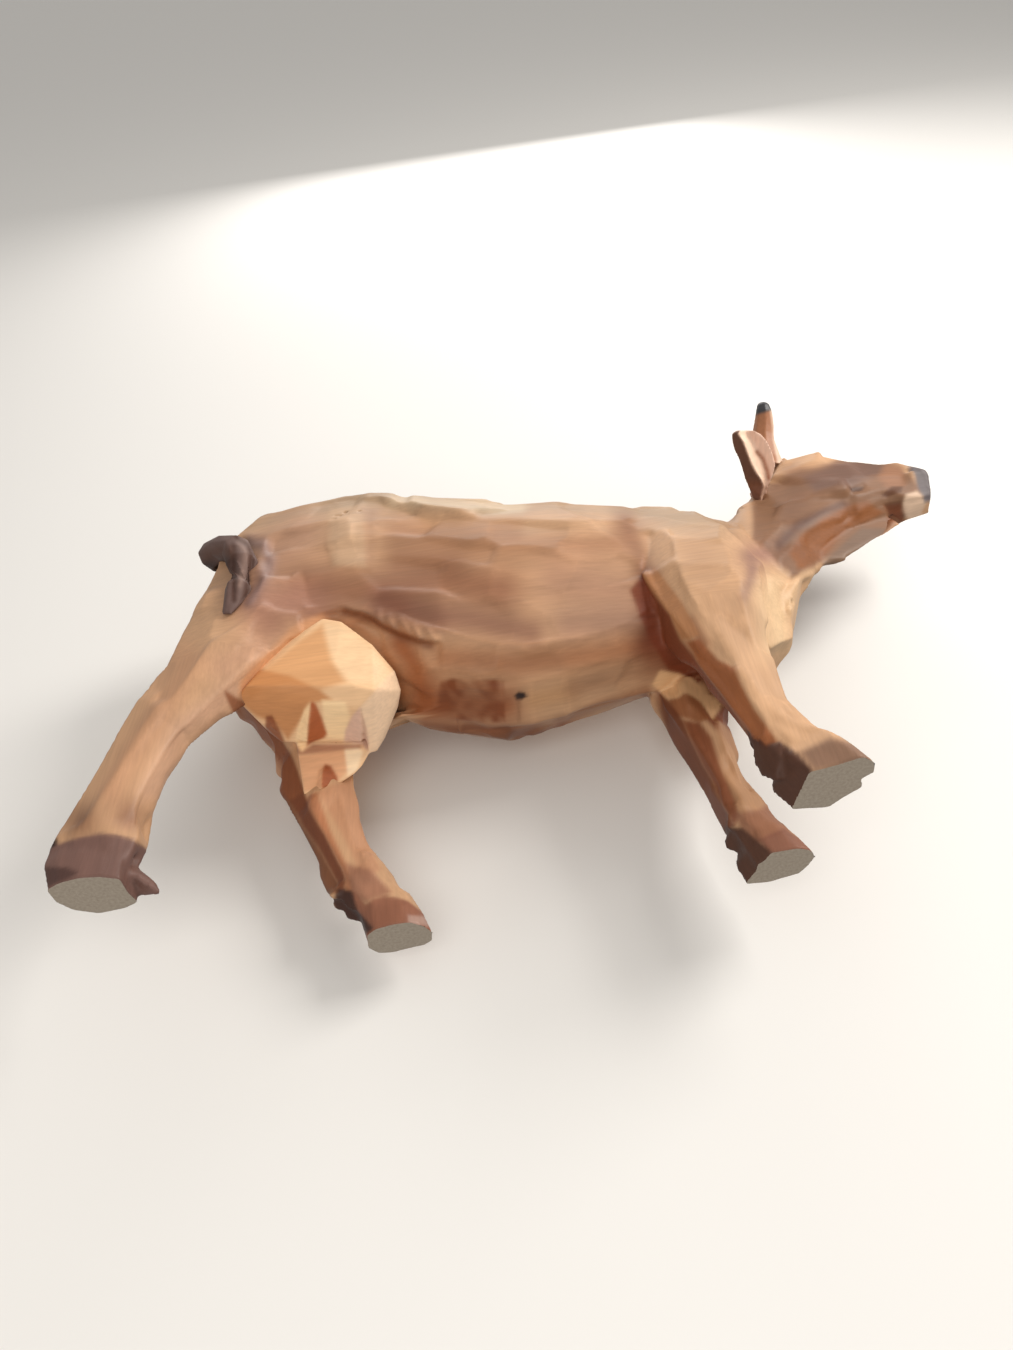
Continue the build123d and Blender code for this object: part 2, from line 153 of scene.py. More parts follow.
soft_lamp("window", (0.42, -0.34, 0.22), 0.24, 2.7, (1.0, 0.96, 0.91))
soft_lamp("ceiling", (0.02, -0.16, 0.62), 0.30, 1.2, (1.0, 0.96, 0.92))
soft_lamp("room_fill", (-0.10, -0.42, -0.42), 0.5, 1.75, (1.0, 0.95, 0.89))


# The blank: trunk, neck and head, udder and four legs are blocks of pale close-grained wood,
# glued up and then carved in one go. The joined blocks are copied here as one solid, rounded
# over, and cut with the knife before they are shared out again to the pieces they came from.
block_names = (
    "body", "head", "udder", "right_foreleg", "left_foreleg", "right_hind_leg", "left_hind_leg",
)
middle_plane = 0.00124
grain_step = 0.0006


def node_triangles(name):
    """Corner points and triangles of a block."""
    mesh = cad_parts[name].data
    mesh.calc_loop_triangles()
    points = np.zeros(len(mesh.vertices) * 3)
    mesh.vertices.foreach_get("co", points)
    corners = np.zeros(len(mesh.loop_triangles) * 3, int)
    mesh.loop_triangles.foreach_get("vertices", corners)
    return points.reshape(-1, 3), corners.reshape(-1, 3)


def plug(middle, radius, length, sides=12):
    """A round plug along Z that fills a drilled hole in the rough blank."""
    turns = [math.tau * k / sides for k in range(sides)]
    ring = [Vector(middle) + Vector((radius * math.cos(a), radius * math.sin(a), 0)) for a in turns]
    points = ring + [p + Vector((0, 0, length)) for p in ring]
    faces = [(k, (k + 1) % sides, (k + 1) % sides + sides, k + sides) for k in range(sides)]
    triangles = [(a, b, c) for a, b, c, d in faces] + [(a, c, d) for a, b, c, d in faces]
    triangles += [(0, k + 1, k) for k in range(1, sides - 1)]
    triangles += [(sides, sides + k, sides + k + 1) for k in range(1, sides - 1)]
    return np.array([tuple(p) for p in points]), np.array(triangles)


def solid_of(parts, step):
    """One closed skin of even small squares round the parts."""
    points, faces, start = [], [], 0
    for part_points, part_faces in parts:
        points.append(part_points)
        faces.append(part_faces + start)
        start += len(part_points)
    rough = bpy.data.meshes.new("rough")
    rough.from_pydata(np.concatenate(points).tolist(), [], np.concatenate(faces).tolist())
    rough_object = bpy.data.objects.new("rough", rough)
    bpy.context.scene.collection.objects.link(rough_object)
    skin = rough_object.modifiers.new("skin", "REMESH")
    skin.mode = "VOXEL"
    skin.voxel_size = step
    bpy.context.view_layer.update()
    shaped = rough_object.evaluated_get(bpy.context.evaluated_depsgraph_get())
    result = bpy.data.meshes.new_from_object(shaped)
    bpy.data.objects.remove(rough_object)
    bpy.data.meshes.remove(rough)
    skin_points = np.zeros(len(result.vertices) * 3)
    result.vertices.foreach_get("co", skin_points)
    squares = np.zeros(len(result.loops), int)
    result.loops.foreach_get("vertex_index", squares)
    bpy.data.meshes.remove(result)
    return skin_points.reshape(-1, 3), squares.reshape(-1, 4)


def neighbours(squares):
    """Each pair of points that share an edge, once."""
    pairs = np.concatenate([squares[:, [k, (k + 1) % 4]] for k in range(4)])
    return np.unique(np.sort(pairs, axis=1), axis=0)


def spread(values, pairs, rounds, share=0.5):
    """Values at the points, evened out along the edges."""
    count = len(values)
    degree = np.bincount(pairs.ravel(), minlength=count)
    shape = (-1,) + (1,) * (values.ndim - 1)
    for _ in range(rounds):
        columns = values.reshape(count, -1)
        total = np.stack([
            np.bincount(pairs[:, 0], column[pairs[:, 1]], count)
            + np.bincount(pairs[:, 1], column[pairs[:, 0]], count)
            for column in columns.T
        ], 1)
        mean = (total / degree[:, None]).reshape(values.shape)
        values = values + (mean - values) * share
    return values


draw_in, let_out = 0.5, -0.52


def round_over(points, pairs, rounds):
    """Smooths the form and keeps its thickness: each round draws it in and lets it out again."""
    for _ in range(rounds):
        points = spread(spread(points, pairs, 1, draw_in), pairs, 1, let_out)
    return points


def outward(points, squares):
    """The outward direction at each point."""
    a, b, c, d = (points[squares[:, k]] for k in range(4))
    facing = np.cross(c - a, d - b)
    total = np.stack([
        sum(np.bincount(squares[:, k], facing[:, axis], len(points)) for k in range(4))
        for axis in range(3)
    ], 1)
    return total / np.maximum(np.linalg.norm(total, axis=1), 1e-12)[:, None]


def rising(values, start, run):
    """0 up to the start, and then up to 1 over the run."""
    return np.clip((values - start) / run, 0, 1)


def falling(values, end, run):
    """Down from 1 to 0 over the run before the end."""
    return np.clip((end - values) / run, 0, 1)


# The hooves. They are carved in one with the legs from the same wood, and stand on flat sawn
# soles. Each is built up on the outline of its sole, and narrows toward the leg.

# Outlines in millimetres, from the outer heel corner round the outer side and the toe to the inner
# heel corner. Rows going up give the height, how far toe and heel lie behind those of the sole, and
# the width as a share of that of the sole.
hooves = {
    "right_foreleg": (
        [(39.9, -17.4), (44.8, -18.3), (49.6, -19.6), (51.9, -17.7), (52.0, -15.0), (49.4, -13.4),
         (48.9, -10.7), (44.3, -6.8), (37.2, -7.7)],
        [(5.0, 2.4, 2.9, 0.98), (9.3, 4.6, 1.3, 0.86), (10.6, 5.4, 3.7, 0.84), (16.0, 8.6, 4.2, 0.80)]),
    "left_foreleg": (
        [(33.8, 4.8), (39.3, 4.5), (41.8, 5.6), (42.8, 7.7), (41.6, 10.4), (39.9, 12.6), (33.8, 14.2),
         (28.9, 13.8)],
        [(4.0, 1.8, 1.4, 0.98), (7.3, 3.6, 0.2, 0.86), (8.6, 4.4, 2.2, 0.84), (15.0, 8.2, 1.8, 0.80)]),
    "right_hind_leg": (
        [(-105.5, -9.5), (-105.8, -13.4), (-102.8, -14.9), (-98.6, -15.6), (-95.0, -15.1), (-91.6, -13.7),
         (-91.6, -9.7), (-90.8, -6.3), (-93.9, -5.0), (-99.1, -4.5), (-103.3, -6.5)],
        [(6.5, 0.9, 2.8, 1.0), (12.0, 2.4, 2.6, 0.90)]),
    "left_hind_leg": (
        [(-49.7, 14.1), (-47.5, 12.4), (-43.6, 11.6), (-40.4, 11.6), (-37.7, 13.6), (-36.4, 16.0),
         (-36.9, 18.8), (-38.8, 20.1), (-42.1, 20.5), (-45.5, 21.2), (-48.6, 20.9), (-50.3, 18.6)],
        [(5.0, 2.0, 1.6, 0.94), (11.0, 5.0, 3.6, 0.82)]),
}


def ring_faces(rings, count):
    """Triangles over rings of points that match one to one, closed to the two hearts listed last."""
    faces = []
    for level in range(rings - 1):
        for k in range(count):
            a, b = level * count + k, level * count + (k + 1) % count
            faces += [(a, b, b + count), (a, b + count, a + count)]
    first, last, top = rings * count, rings * count + 1, (rings - 1) * count
    faces += [(first, (k + 1) % count, k) for k in range(count)]
    faces += [(last, top + k, top + (k + 1) % count) for k in range(count)]
    return np.array(faces)


sole_sink = 0.0003


def hoof_block(outline, rows):
    """A closed block on a sole outline, with a ring of points for each row."""
    sole = np.array(outline) / 1000
    heel, toe = sole[:, 0].min(), sole[:, 0].max()
    forward = ((sole[:, 0] - heel) / (toe - heel))[:, None]
    across = sole[:, 1].mean()
    rings = [np.column_stack([sole, np.full(len(sole), -sole_sink)])]
    for height, toe_back, heel_back, width in rows:
        along = sole[:, :1] - (forward * toe_back + (1 - forward) * heel_back) / 1000
        side = across + (sole[:, 1:] - across) * width
        rings.append(np.column_stack([along, side, np.full(len(sole), height / 1000)]))
    points = np.vstack(rings + [rings[0].mean(0), rings[-1].mean(0)])
    return points, ring_faces(len(rings), len(sole))


foot_top, foot_fade, foot_draw = 0.013, 0.008, 0.30


def slim_foot(name, points):
    """The rough block's foot, drawn in so that it stays inside the finished hoof."""
    if name not in hooves:
        return points
    sole = np.array(hooves[name][0]) / 1000
    heart = (sole.min(0) + sole.max(0)) / 2
    points = points.copy()
    low = falling(points[:, 2], foot_top, foot_fade)[:, None]
    points[:, :2] += (heart - points[:, :2]) * foot_draw * low
    return points


def hull_of(points):
    """Corner points and triangles of the smallest bulging shape round the points."""
    work = bmesh.new()
    for point in points:
        work.verts.new(point)
    bmesh.ops.convex_hull(work, input=work.verts)
    loose = [vert for vert in work.verts if not vert.link_faces]
    bmesh.ops.delete(work, geom=loose, context="VERTS")
    bmesh.ops.triangulate(work, faces=work.faces[:])
    work.verts.index_update()
    corners = np.array([vert.co[:] for vert in work.verts])
    triangles = np.array([[vert.index for vert in face.verts] for face in work.faces])
    work.free()
    return corners, triangles


def sight_line(across, down):
    """The direction from the eye to a place in the picture."""
    line = sight + picture_right * ((across - photo_width / 2) / focal_pixels)
    return line - picture_up * ((down - photo_height / 2) / focal_pixels)


def seen_at(across, down, side):
    """The spot that the picture shows at a place, on the upright plane at this distance across."""
    line = sight_line(across, down)
    return eye + line * ((side - eye.y) / line.y)


def placed(rows, hearts=()):
    """Spots at places in the picture, with their distance across in millimetres, and hearts in metres."""
    spots = [seen_at(across, down, side / 1000) for across, down, side in rows]
    return spots + [Vector(heart) for heart in hearts]


def mirrored(points):
    """The same places on the other side of the cow."""
    return np.asarray(points) * (1, -1, 1) + (0, 2 * middle_plane, 0)


def in_picture(points):
    """Picture position in pixels, and distance from the camera."""
    offset = points - np.array(eye)
    depth = offset @ np.array(sight)
    across = photo_width / 2 + focal_pixels * (offset @ np.array(picture_right)) / depth
    down = photo_height / 2 - focal_pixels * (offset @ np.array(picture_up)) / depth
    return np.stack([across, down], 1), depth


def line_gap(spots, line):
    """Distance in pixels from each place to a line of picture points."""
    line = np.array(line, float)
    best = np.full(len(spots), 1e9)
    if len(line) == 1:
        return np.linalg.norm(spots - line[0], axis=1)
    for start, end in zip(line, line[1:]):
        along = end - start
        share = np.clip((spots - start) @ along / max(along @ along, 1e-9), 0, 1)
        best = np.minimum(best, np.linalg.norm(spots - start - share[:, None] * along, axis=1))
    return best


# Wood left standing round the blocks, in one with them. The rough bag that the udder covers is first:
# height, front end, back end and half width in millimetres, and its outline as shares of these.
bag_rows = [(62.0, -43.0, -66.0, 11.0), (54.0, -45.0, -66.0, 10.5), (50.0, -48.0, -64.0, 8.5)]
bag_outline = [(0.42, 1), (0.95, 0.52), (1, -0.40), (0.55, -1)]
bag = []
for height, front, back, half in np.array(bag_rows) / 1000:
    for side in (-1, 1):
        for wide, long in bag_outline:
            along = (front + back + long * (front - back)) / 2
            bag.append((along, middle_plane + side * wide * half, height))
inner_claw = placed([(150, 878, -8.5), (163, 895, -6.8), (146, 893, -5.0), (158, 884, -6.8)],
                    [(-0.094, -0.009, 0.009), (-0.095, -0.0050, 0.003), (-0.094, -0.0125, 0.005)])
left_dewclaws = [
    placed([(341, 895, 13.5), (351, 892, 13.5), (366, 899, 12.5), (363, 908, 13.5), (345, 911, 15.0)],
           [(-0.050, 0.0165, 0.012), (-0.050, 0.013, 0.008)]),
    placed([(342, 911, 18.5), (355, 911, 18.0), (357, 921, 18.5), (347, 924, 19.5), (343, 919, 20.0)],
           [(-0.050, 0.0180, 0.012), (-0.050, 0.0195, 0.008)]),
]

# Jaw, breast and throat stand out from their blocks on both sides, and the right fetlock has a heel:
# places in the picture with their distance across in millimetres, and the heel's hearts in metres
jaw_places = [
    (903, 523, 1.2), (887, 533, 1.2), (865, 547, 1.2), (846, 559, 1.2), (826, 569, 1.2),
    (811, 574, 1.2), (799, 580, 1.2), (893, 515, 0.6), (878, 521, 0.8), (855, 535, 0.6),
    (824, 557, 0.6), (806, 566, -0.4), (868, 515, 0.6), (840, 531, 0.6), (812, 548, -0.8),
]
brisket_places = [
    (794, 597, -2), (791.5, 606, -2), (792, 622, -1.5), (795, 638, -1), (787, 649, 1.2), (770, 662, 2),
    (764, 598, -10.6), (758, 622, -11), (762, 650, -8),
]
throat_places = [
    (814, 573, 1.2), (800, 585, 1.2), (794, 597, 0), (792, 607, -1), (812, 552, -3.2), (800, 560, -3.9),
    (785, 575, -5.8), (775, 590, -8.0), (770, 602, -9.2), (780, 604, -7.5),
]
heel_places = [
    (748, 737, -11), (765, 747, -15.6), (780, 743, -17), (779, 757, -16.2), (775, 782, -12.5),
    (760, 776, -10.5), (752, 757, -11),
]
heel_hearts = [(0.042, -0.012, 0.013), (0.042, -0.012, 0.004), (0.040, -0.009, 0.010)]
fills = [hull_of(placed(heel_places, heel_hearts))]
for places in (jaw_places, brisket_places, throat_places):
    near = placed(places)
    fills.append(hull_of(near + [Vector(place) for place in mirrored(near)]))

# The blocks run a little into each other at their glued joints, so that the skin is one
joint_height_fore, joint_height_hind, joint_of_neck = 0.054, 0.060, 0.05486
overlap, at_joint = 0.0005, 0.0002
hole_place, plug_radius, plug_length = (-0.01209, -0.00140, 0.04850), 0.0013, 0.009
parts = fills + [hull_of(bag), hull_of(inner_claw)] + [hull_of(claw) for claw in left_dewclaws]
for name in block_names:
    if name == "udder":
        continue
    points, triangles = node_triangles(name)
    if name == "head":
        points = points - np.outer(points[:, 0] < joint_of_neck + at_joint, (overlap, 0, 0))
    elif name != "body":
        joint_height = joint_height_fore if name.endswith("foreleg") else joint_height_hind
        points = points + np.outer(points[:, 2] > joint_height - at_joint, (0, 0, overlap))
    parts.append((slim_foot(name, points), triangles))
parts += [hoof_block(*hoof) for hoof in hooves.values()]
parts.append(plug((*hole_place[:2], hole_place[2] - at_joint), plug_radius, plug_length))
blank, blank_squares = solid_of(parts, grain_step)
blank_pairs = neighbours(blank_squares)

# The left hind leg is whittled slimmer than its block: height, back edge and front edge in millimetres
slim_rows = np.array([
    (10.4, -57.5, -38), (18.9, -60.5, -46.5), (22.7, -62, -50.6), (31.5, -66.9, -53.4), (41.7, -72, -54.4),
    (46.7, -73.5, -54.3), (54, -75, -51.3),
]) / 1000
on_slim_leg = falling(blank[:, 2], 0.058, 0.005) * rising(blank[:, 2], 0.012, 0.004)
slim_leg_front, slim_leg_inside = -0.03, 0.004
on_slim_leg *= (blank[:, 0] < slim_leg_front) & (blank[:, 1] > slim_leg_inside)
slimmed = np.clip(blank[:, 0], *(np.interp(blank[:, 2], slim_rows[:, 0], slim_rows[:, k]) for k in (1, 2)))
blank[:, 0] += (slimmed - blank[:, 0]) * on_slim_leg

# Thigh and belly are trimmed so that they end behind the udder: places in the picture where they stop
thigh_stop = np.array([
    (705, 398), (719, 389), (736, 381), (749, 374), (753, 366), (764, 359), (772, 353), (790, 354),
    (800, 356),
])
belly_stop = np.array([
    (398, 709), (410, 720), (420, 725), (430, 729), (440, 731), (460, 734), (480, 737), (500, 740),
])
far_half = 0.002


def trimmed(points):
    """Thigh and belly of the far side drawn in to the places where the picture shows them end."""
    places, depth = in_picture(points)
    across, down = places.T
    chosen = (points[:, 1] > far_half) * rising(points[:, 2], 0.040, 0.004)
    on_thigh = (across > 340) & (across < 400) & (down > 705) & (down < 800)
    excess = np.maximum(across - np.interp(down, *thigh_stop.T), 0) * on_thigh * chosen
    points = points - np.outer(excess * depth / focal_pixels, np.array(picture_right))
    on_belly = (across >= 400) & (across < 500)
    excess = np.maximum(down - np.interp(across, *belly_stop.T), 0) * on_belly * chosen
    return points + np.outer(excess * depth / focal_pixels, np.array(picture_up))


blank = trimmed(blank)
# The hooves stay crisp. Above them the form is smoothed, and of its roughness only this much is kept
# on the legs, less on the trunk and least on the head.
kept_on_legs, less_on_trunk, less_on_head, neck_bottom = 0.0006, 0.0003, 0.00018, 0.055
low_part = falling(blank[:, 2], 0.014, 0.004)[:, None]
lightly = round_over(blank, blank_pairs, 4)
smooth = round_over(lightly, blank_pairs, 36)
relief_kept = kept_on_legs - less_on_trunk * rising(blank[:, 2], 0.045, 0.010)
relief_kept -= less_on_head * rising(blank[:, 0], 0.048, 0.006) * (blank[:, 2] > neck_bottom)
relief_kept = relief_kept[:, None]
blank = smooth + np.clip(round_over(lightly, blank_pairs, 5) - smooth, -relief_kept, relief_kept)
blank = lightly * low_part + blank * (1 - low_part)
sole_flat = 0.0005
blank[:, 2] = np.where(blank[:, 2] < sole_flat, 0.0, blank[:, 2])


def close_to(places, line, reach):
    """1 on a line in the picture, and falling off softly round it."""
    return np.exp(-(line_gap(places, line) / reach) ** 2)


# The outline is drawn to that of the real one: line in the picture, shift across and down, and reach,
# in pixels, and the side it acts on (-1 right, 1 left, 0 both)
nudges = [
    ([(425, 506), (450, 508), (475, 508), (500, 506)], 0, -9, 16, 0),
    ([(378, 497), (386, 498)], 0, -6, 8, 0),
    ([(435, 504), (480, 506)], 0, -5, 12, 0),
    ([(665, 505), (690, 507), (722, 514)], 0, 5, 12, 0),
    ([(762, 467), (781, 461)], 0, -10, 10, 0),
    ([(838, 457), (870, 461)], 0, 5.5, 10, 0),
    ([(826, 572), (808, 586), (799, 598), (795, 610)], -3.6, -3.8, 10, 0),
    ([(789, 626), (789, 643)], 6, -1, 9, 0),
    ([(905, 519), (893, 523), (882, 530)], 1, 4, 8, 0),
    ([(931, 466), (933, 474)], -7, 4, 8, 0),
    ([(182, 618), (165, 660), (152, 678)], 8.5, 4.6, 17, -1),
    ([(211, 585), (200, 600)], 3, 1.5, 10, -1),
    ([(106, 760), (94, 780), (82, 800), (70, 820)], -4.8, -2.8, 12, -1),
    ([(226, 722), (202, 741), (188, 760), (175, 780), (166, 800), (159, 815)], -8, -5.2, 14, -1),
    ([(245, 728), (253, 745), (264, 764)], 14, -7, 11, 1),
    ([(360, 815), (368, 842), (384, 866), (400, 885)], -2.6, 1.6, 9, 1),
    ([(790, 660), (779, 676), (786, 691), (798, 706)], -4.4, -0.5, 12, -1),
    ([(812, 712), (825, 722), (845, 736)], -5.6, 8, 14, -1),
    ([(766, 798), (778, 811), (788, 823)], -5.5, 5, 9, 1),
    ([(556, 735), (600, 722), (648, 703)], -1, -8.5, 15, 0),
    ([(515, 742), (545, 738)], 0, -3.5, 12, 0),
]
halfway = 0.001
nudge_spots, nudge_depth = in_picture(blank)
nudge = np.zeros((len(blank), 2))
for line, across, down, reach, side in nudges:
    share = close_to(nudge_spots, line, reach)
    share *= (side == 0) | ((blank[:, 1] - halfway) * side > 0)
    nudge += share[:, None] * np.array([across, down])
nudge *= rising(blank[:, 2], 0.008, 0.006)[:, None]
nudge = spread(nudge, blank_pairs, 8)
shift = np.outer(nudge[:, 0], np.array(picture_right)) - np.outer(nudge[:, 1], np.array(picture_up))
blank = blank + shift * (nudge_depth / focal_pixels)[:, None]
blank_facing = outward(lightly, blank_squares) * low_part + outward(smooth, blank_squares) * (1 - low_part)
blank_facing /= np.linalg.norm(blank_facing, axis=1)[:, None]


def nearest_depth(spots, depth, cell=4, far_off=9.0):
    """Depth of the foremost point near each picture place, on a coarse grid."""
    grid = np.full((photo_height // cell + 3, photo_width // cell + 3), far_off)
    place = np.clip((spots / cell).astype(int), 0, [grid.shape[1] - 1, grid.shape[0] - 1])
    np.minimum.at(grid, (place[:, 1], place[:, 0]), depth)
    return grid, place


seen_behind, twin_behind, twin_before, trunk_bottom, nowhere = 0.003, 0.005, 0.006, 0.056, -999.0


def picture_places(points, facing):
    """For each point: its place in the picture if it is seen there, or that of its mirror point
    on the right side if that is seen, or a place far off."""
    spots, depth = in_picture(points)
    toward = points - np.array(eye)
    grid, place = nearest_depth(spots, depth)
    seen = (np.sum(facing * toward, axis=1) < 0) & (depth < grid[place[:, 1], place[:, 0]] + seen_behind)
    result = np.where(seen[:, None], spots, nowhere)
    twins = mirrored(points)
    twin_spots, twin_depth = in_picture(twins)
    _, twin_place = nearest_depth(twin_spots, twin_depth)
    foremost = grid[twin_place[:, 1], twin_place[:, 0]]
    match = (np.sum(facing * (1, -1, 1) * (twins - np.array(eye)), axis=1) < 0) & ~seen
    match &= (points[:, 1] > middle_plane) & (points[:, 2] > trunk_bottom)
    match &= (twin_depth < foremost + twin_behind) & (twin_depth > foremost - twin_before)
    return np.where(match[:, None], twin_spots, result), seen


spots, seen = picture_places(blank, blank_facing)


def within(spots, corners):
    """Signed distance in pixels into a closed outline, positive inside."""
    corners = np.array(corners, float)
    inside = np.zeros(len(spots), bool)
    for (x0, y0), (x1, y1) in zip(corners, np.roll(corners, -1, axis=0)):
        crosses = (y0 > spots[:, 1]) != (y1 > spots[:, 1])
        if y1 != y0:
            inside ^= crosses & (spots[:, 0] < (x1 - x0) * (spots[:, 1] - y0) / (y1 - y0) + x0)
    gap = line_gap(spots, np.vstack([corners, corners[:1]]))
    return np.where(inside, gap, -gap)


def soft_edge(gap, width):
    """Eases from 0 outside an edge to 1 inside it, over this width in pixels."""
    share = np.clip(gap / width + 0.5, 0, 1)
    return share * share * (3 - 2 * share)


# Knife cuts. Every surface is a patchwork of shallow flat cuts along the run of the form, each a
# little scooped, with soft ridges where two cuts meet. On the side that is seen they are laid from
# one place in the picture to another, as on the real cow, and the far side repeats them.
chance = np.random.default_rng(7)
trunk_cuts = [
    (400, 505, 470, 503), (490, 506, 560, 511), (580, 511, 630, 510), (650, 513, 705, 522),
    (395, 530, 430, 532), (445, 530, 475, 535), (505, 536, 560, 543), (575, 545, 612, 548),
    (385, 575, 425, 580), (455, 572, 480, 585), (505, 588, 552, 600), (510, 563, 560, 575),
    (580, 572, 628, 570), (580, 600, 628, 598), (395, 603, 430, 612), (450, 615, 500, 622),
    (520, 606, 545, 632), (572, 630, 628, 622), (445, 653, 490, 664), (510, 667, 555, 664),
    (572, 664, 618, 656), (632, 650, 655, 640), (448, 700, 495, 703), (512, 702, 553, 700),
    (568, 698, 620, 684), (633, 680, 655, 670), (430, 727, 480, 733), (500, 733, 548, 727),
    (568, 721, 610, 707), (402, 655, 424, 690), (410, 703, 432, 714), (270, 525, 310, 514),
    (295, 540, 320, 536), (287, 562, 318, 562), (290, 590, 298, 606), (320, 585, 352, 592),
    (245, 640, 300, 628), (300, 520, 330, 513), (385, 512, 400, 516), (400, 548, 470, 552),
]
shoulder_cuts = [
    (655, 524, 715, 531), (650, 545, 660, 560), (685, 548, 715, 552), (685, 578, 712, 582),
    (735, 545, 742, 566), (728, 590, 740, 620), (642, 592, 650, 630), (630, 535, 638, 560),
    (690, 600, 725, 655), (757, 600, 760, 625),
]
fore_cuts = [
    (652, 580, 700, 662), (707, 672, 745, 738), (665, 578, 703, 640), (714, 662, 757, 732),
    (685, 580, 735, 655), (748, 675, 790, 738), (725, 625, 765, 688), (772, 698, 818, 740),
    (805, 748, 860, 756), (687, 700, 714, 706), (684, 684, 702, 678), (668, 705, 690, 718),
    (680, 728, 712, 792), (703, 728, 732, 795), (728, 735, 734, 760), (726, 770, 758, 812),
    (745, 815, 790, 843), (715, 800, 728, 835),
]
head_cuts = [
    (800, 471, 850, 470), (862, 471, 897, 471), (782, 492, 838, 492), (790, 513, 832, 500),
    (786, 541, 840, 508), (812, 538, 852, 514), (832, 551, 878, 529), (862, 487, 895, 480),
    (858, 512, 878, 507), (906, 500, 916, 511), (760, 515, 768, 535), (792, 556, 815, 562),
    (790, 460, 812, 458), (822, 458, 832, 461), (884, 520, 896, 515), (914, 478, 920, 492),
]
hind_cuts = [
    (212, 610, 165, 690), (145, 712, 75, 815), (235, 640, 185, 712), (162, 740, 105, 820),
    (262, 652, 205, 722), (172, 752, 132, 822), (228, 590, 222, 625), (60, 850, 62, 878),
    (100, 848, 105, 868), (142, 850, 150, 875), (352, 792, 358, 842), (366, 862, 412, 907),
    (326, 818, 350, 872), (356, 882, 382, 912), (312, 812, 340, 882), (290, 765, 302, 800),
    (262, 742, 278, 760),
]
hand_sway = 4
swayed = np.array(trunk_cuts) + chance.normal(0, hand_sway, (len(trunk_cuts), 4))
trunk_cuts = [tuple(row) for row in swayed]


def laid_lines(rows, points, facing, spots, seen):
    """Starts, ends and facings of cuts whose ends are given in the picture."""
    seen_indices = np.nonzero(seen)[0][::2]
    tree = KDTree(len(seen_indices))
    for order, index in enumerate(seen_indices):
        tree.insert((spots[index, 0], spots[index, 1], 0), order)
    tree.balance()
    ends = [[seen_indices[tree.find((x, y, 0))[1]] for x, y in (row[:2], row[2:])] for row in rows]
    ends = np.array(ends)
    normal = facing[ends[:, 0]] + facing[ends[:, 1]]
    return points[ends[:, 0]], points[ends[:, 1]], normal / np.linalg.norm(normal, axis=1)[:, None]


def free_lines(points, facing, spacing, taken):
    """Starts, ends and facings of cuts spread over the rest of the form, along its straightest run."""
    tries, thinned, round_place, half_length = 12000, 6, 0.008, 0.45
    same_side, flat_enough = 0.2, 0.5
    order = chance.permutation(len(points))[:tries]
    chosen = taken
    picked = []
    for index in order:
        gap = spacing(points[index])
        if np.min(np.sum((chosen - points[index]) ** 2, axis=1)) > gap * gap:
            chosen = np.vstack([chosen, points[index]])
            picked.append(index)
    thin = slice(None, None, thinned)
    some_points, some_facing = points[thin], facing[thin]
    runs = []
    for index in picked:
        near = np.sum((some_points - points[index]) ** 2, axis=1) < round_place ** 2
        near &= some_facing @ facing[index] > same_side
        normals = some_facing[near] - some_facing[near].mean(0)
        values, vectors = np.linalg.eigh(normals.T @ normals)
        tangents = vectors - np.outer(facing[index], facing[index] @ vectors)
        lengths = np.linalg.norm(tangents, axis=0)
        order_of = [k for k in np.argsort(values) if lengths[k] > flat_enough]
        half = half_length * spacing(points[index])
        runs.append(tangents[:, order_of[0]] / lengths[order_of[0]] * half)
    runs = np.array(runs)
    return points[picked] - runs, points[picked] + runs, facing[picked]


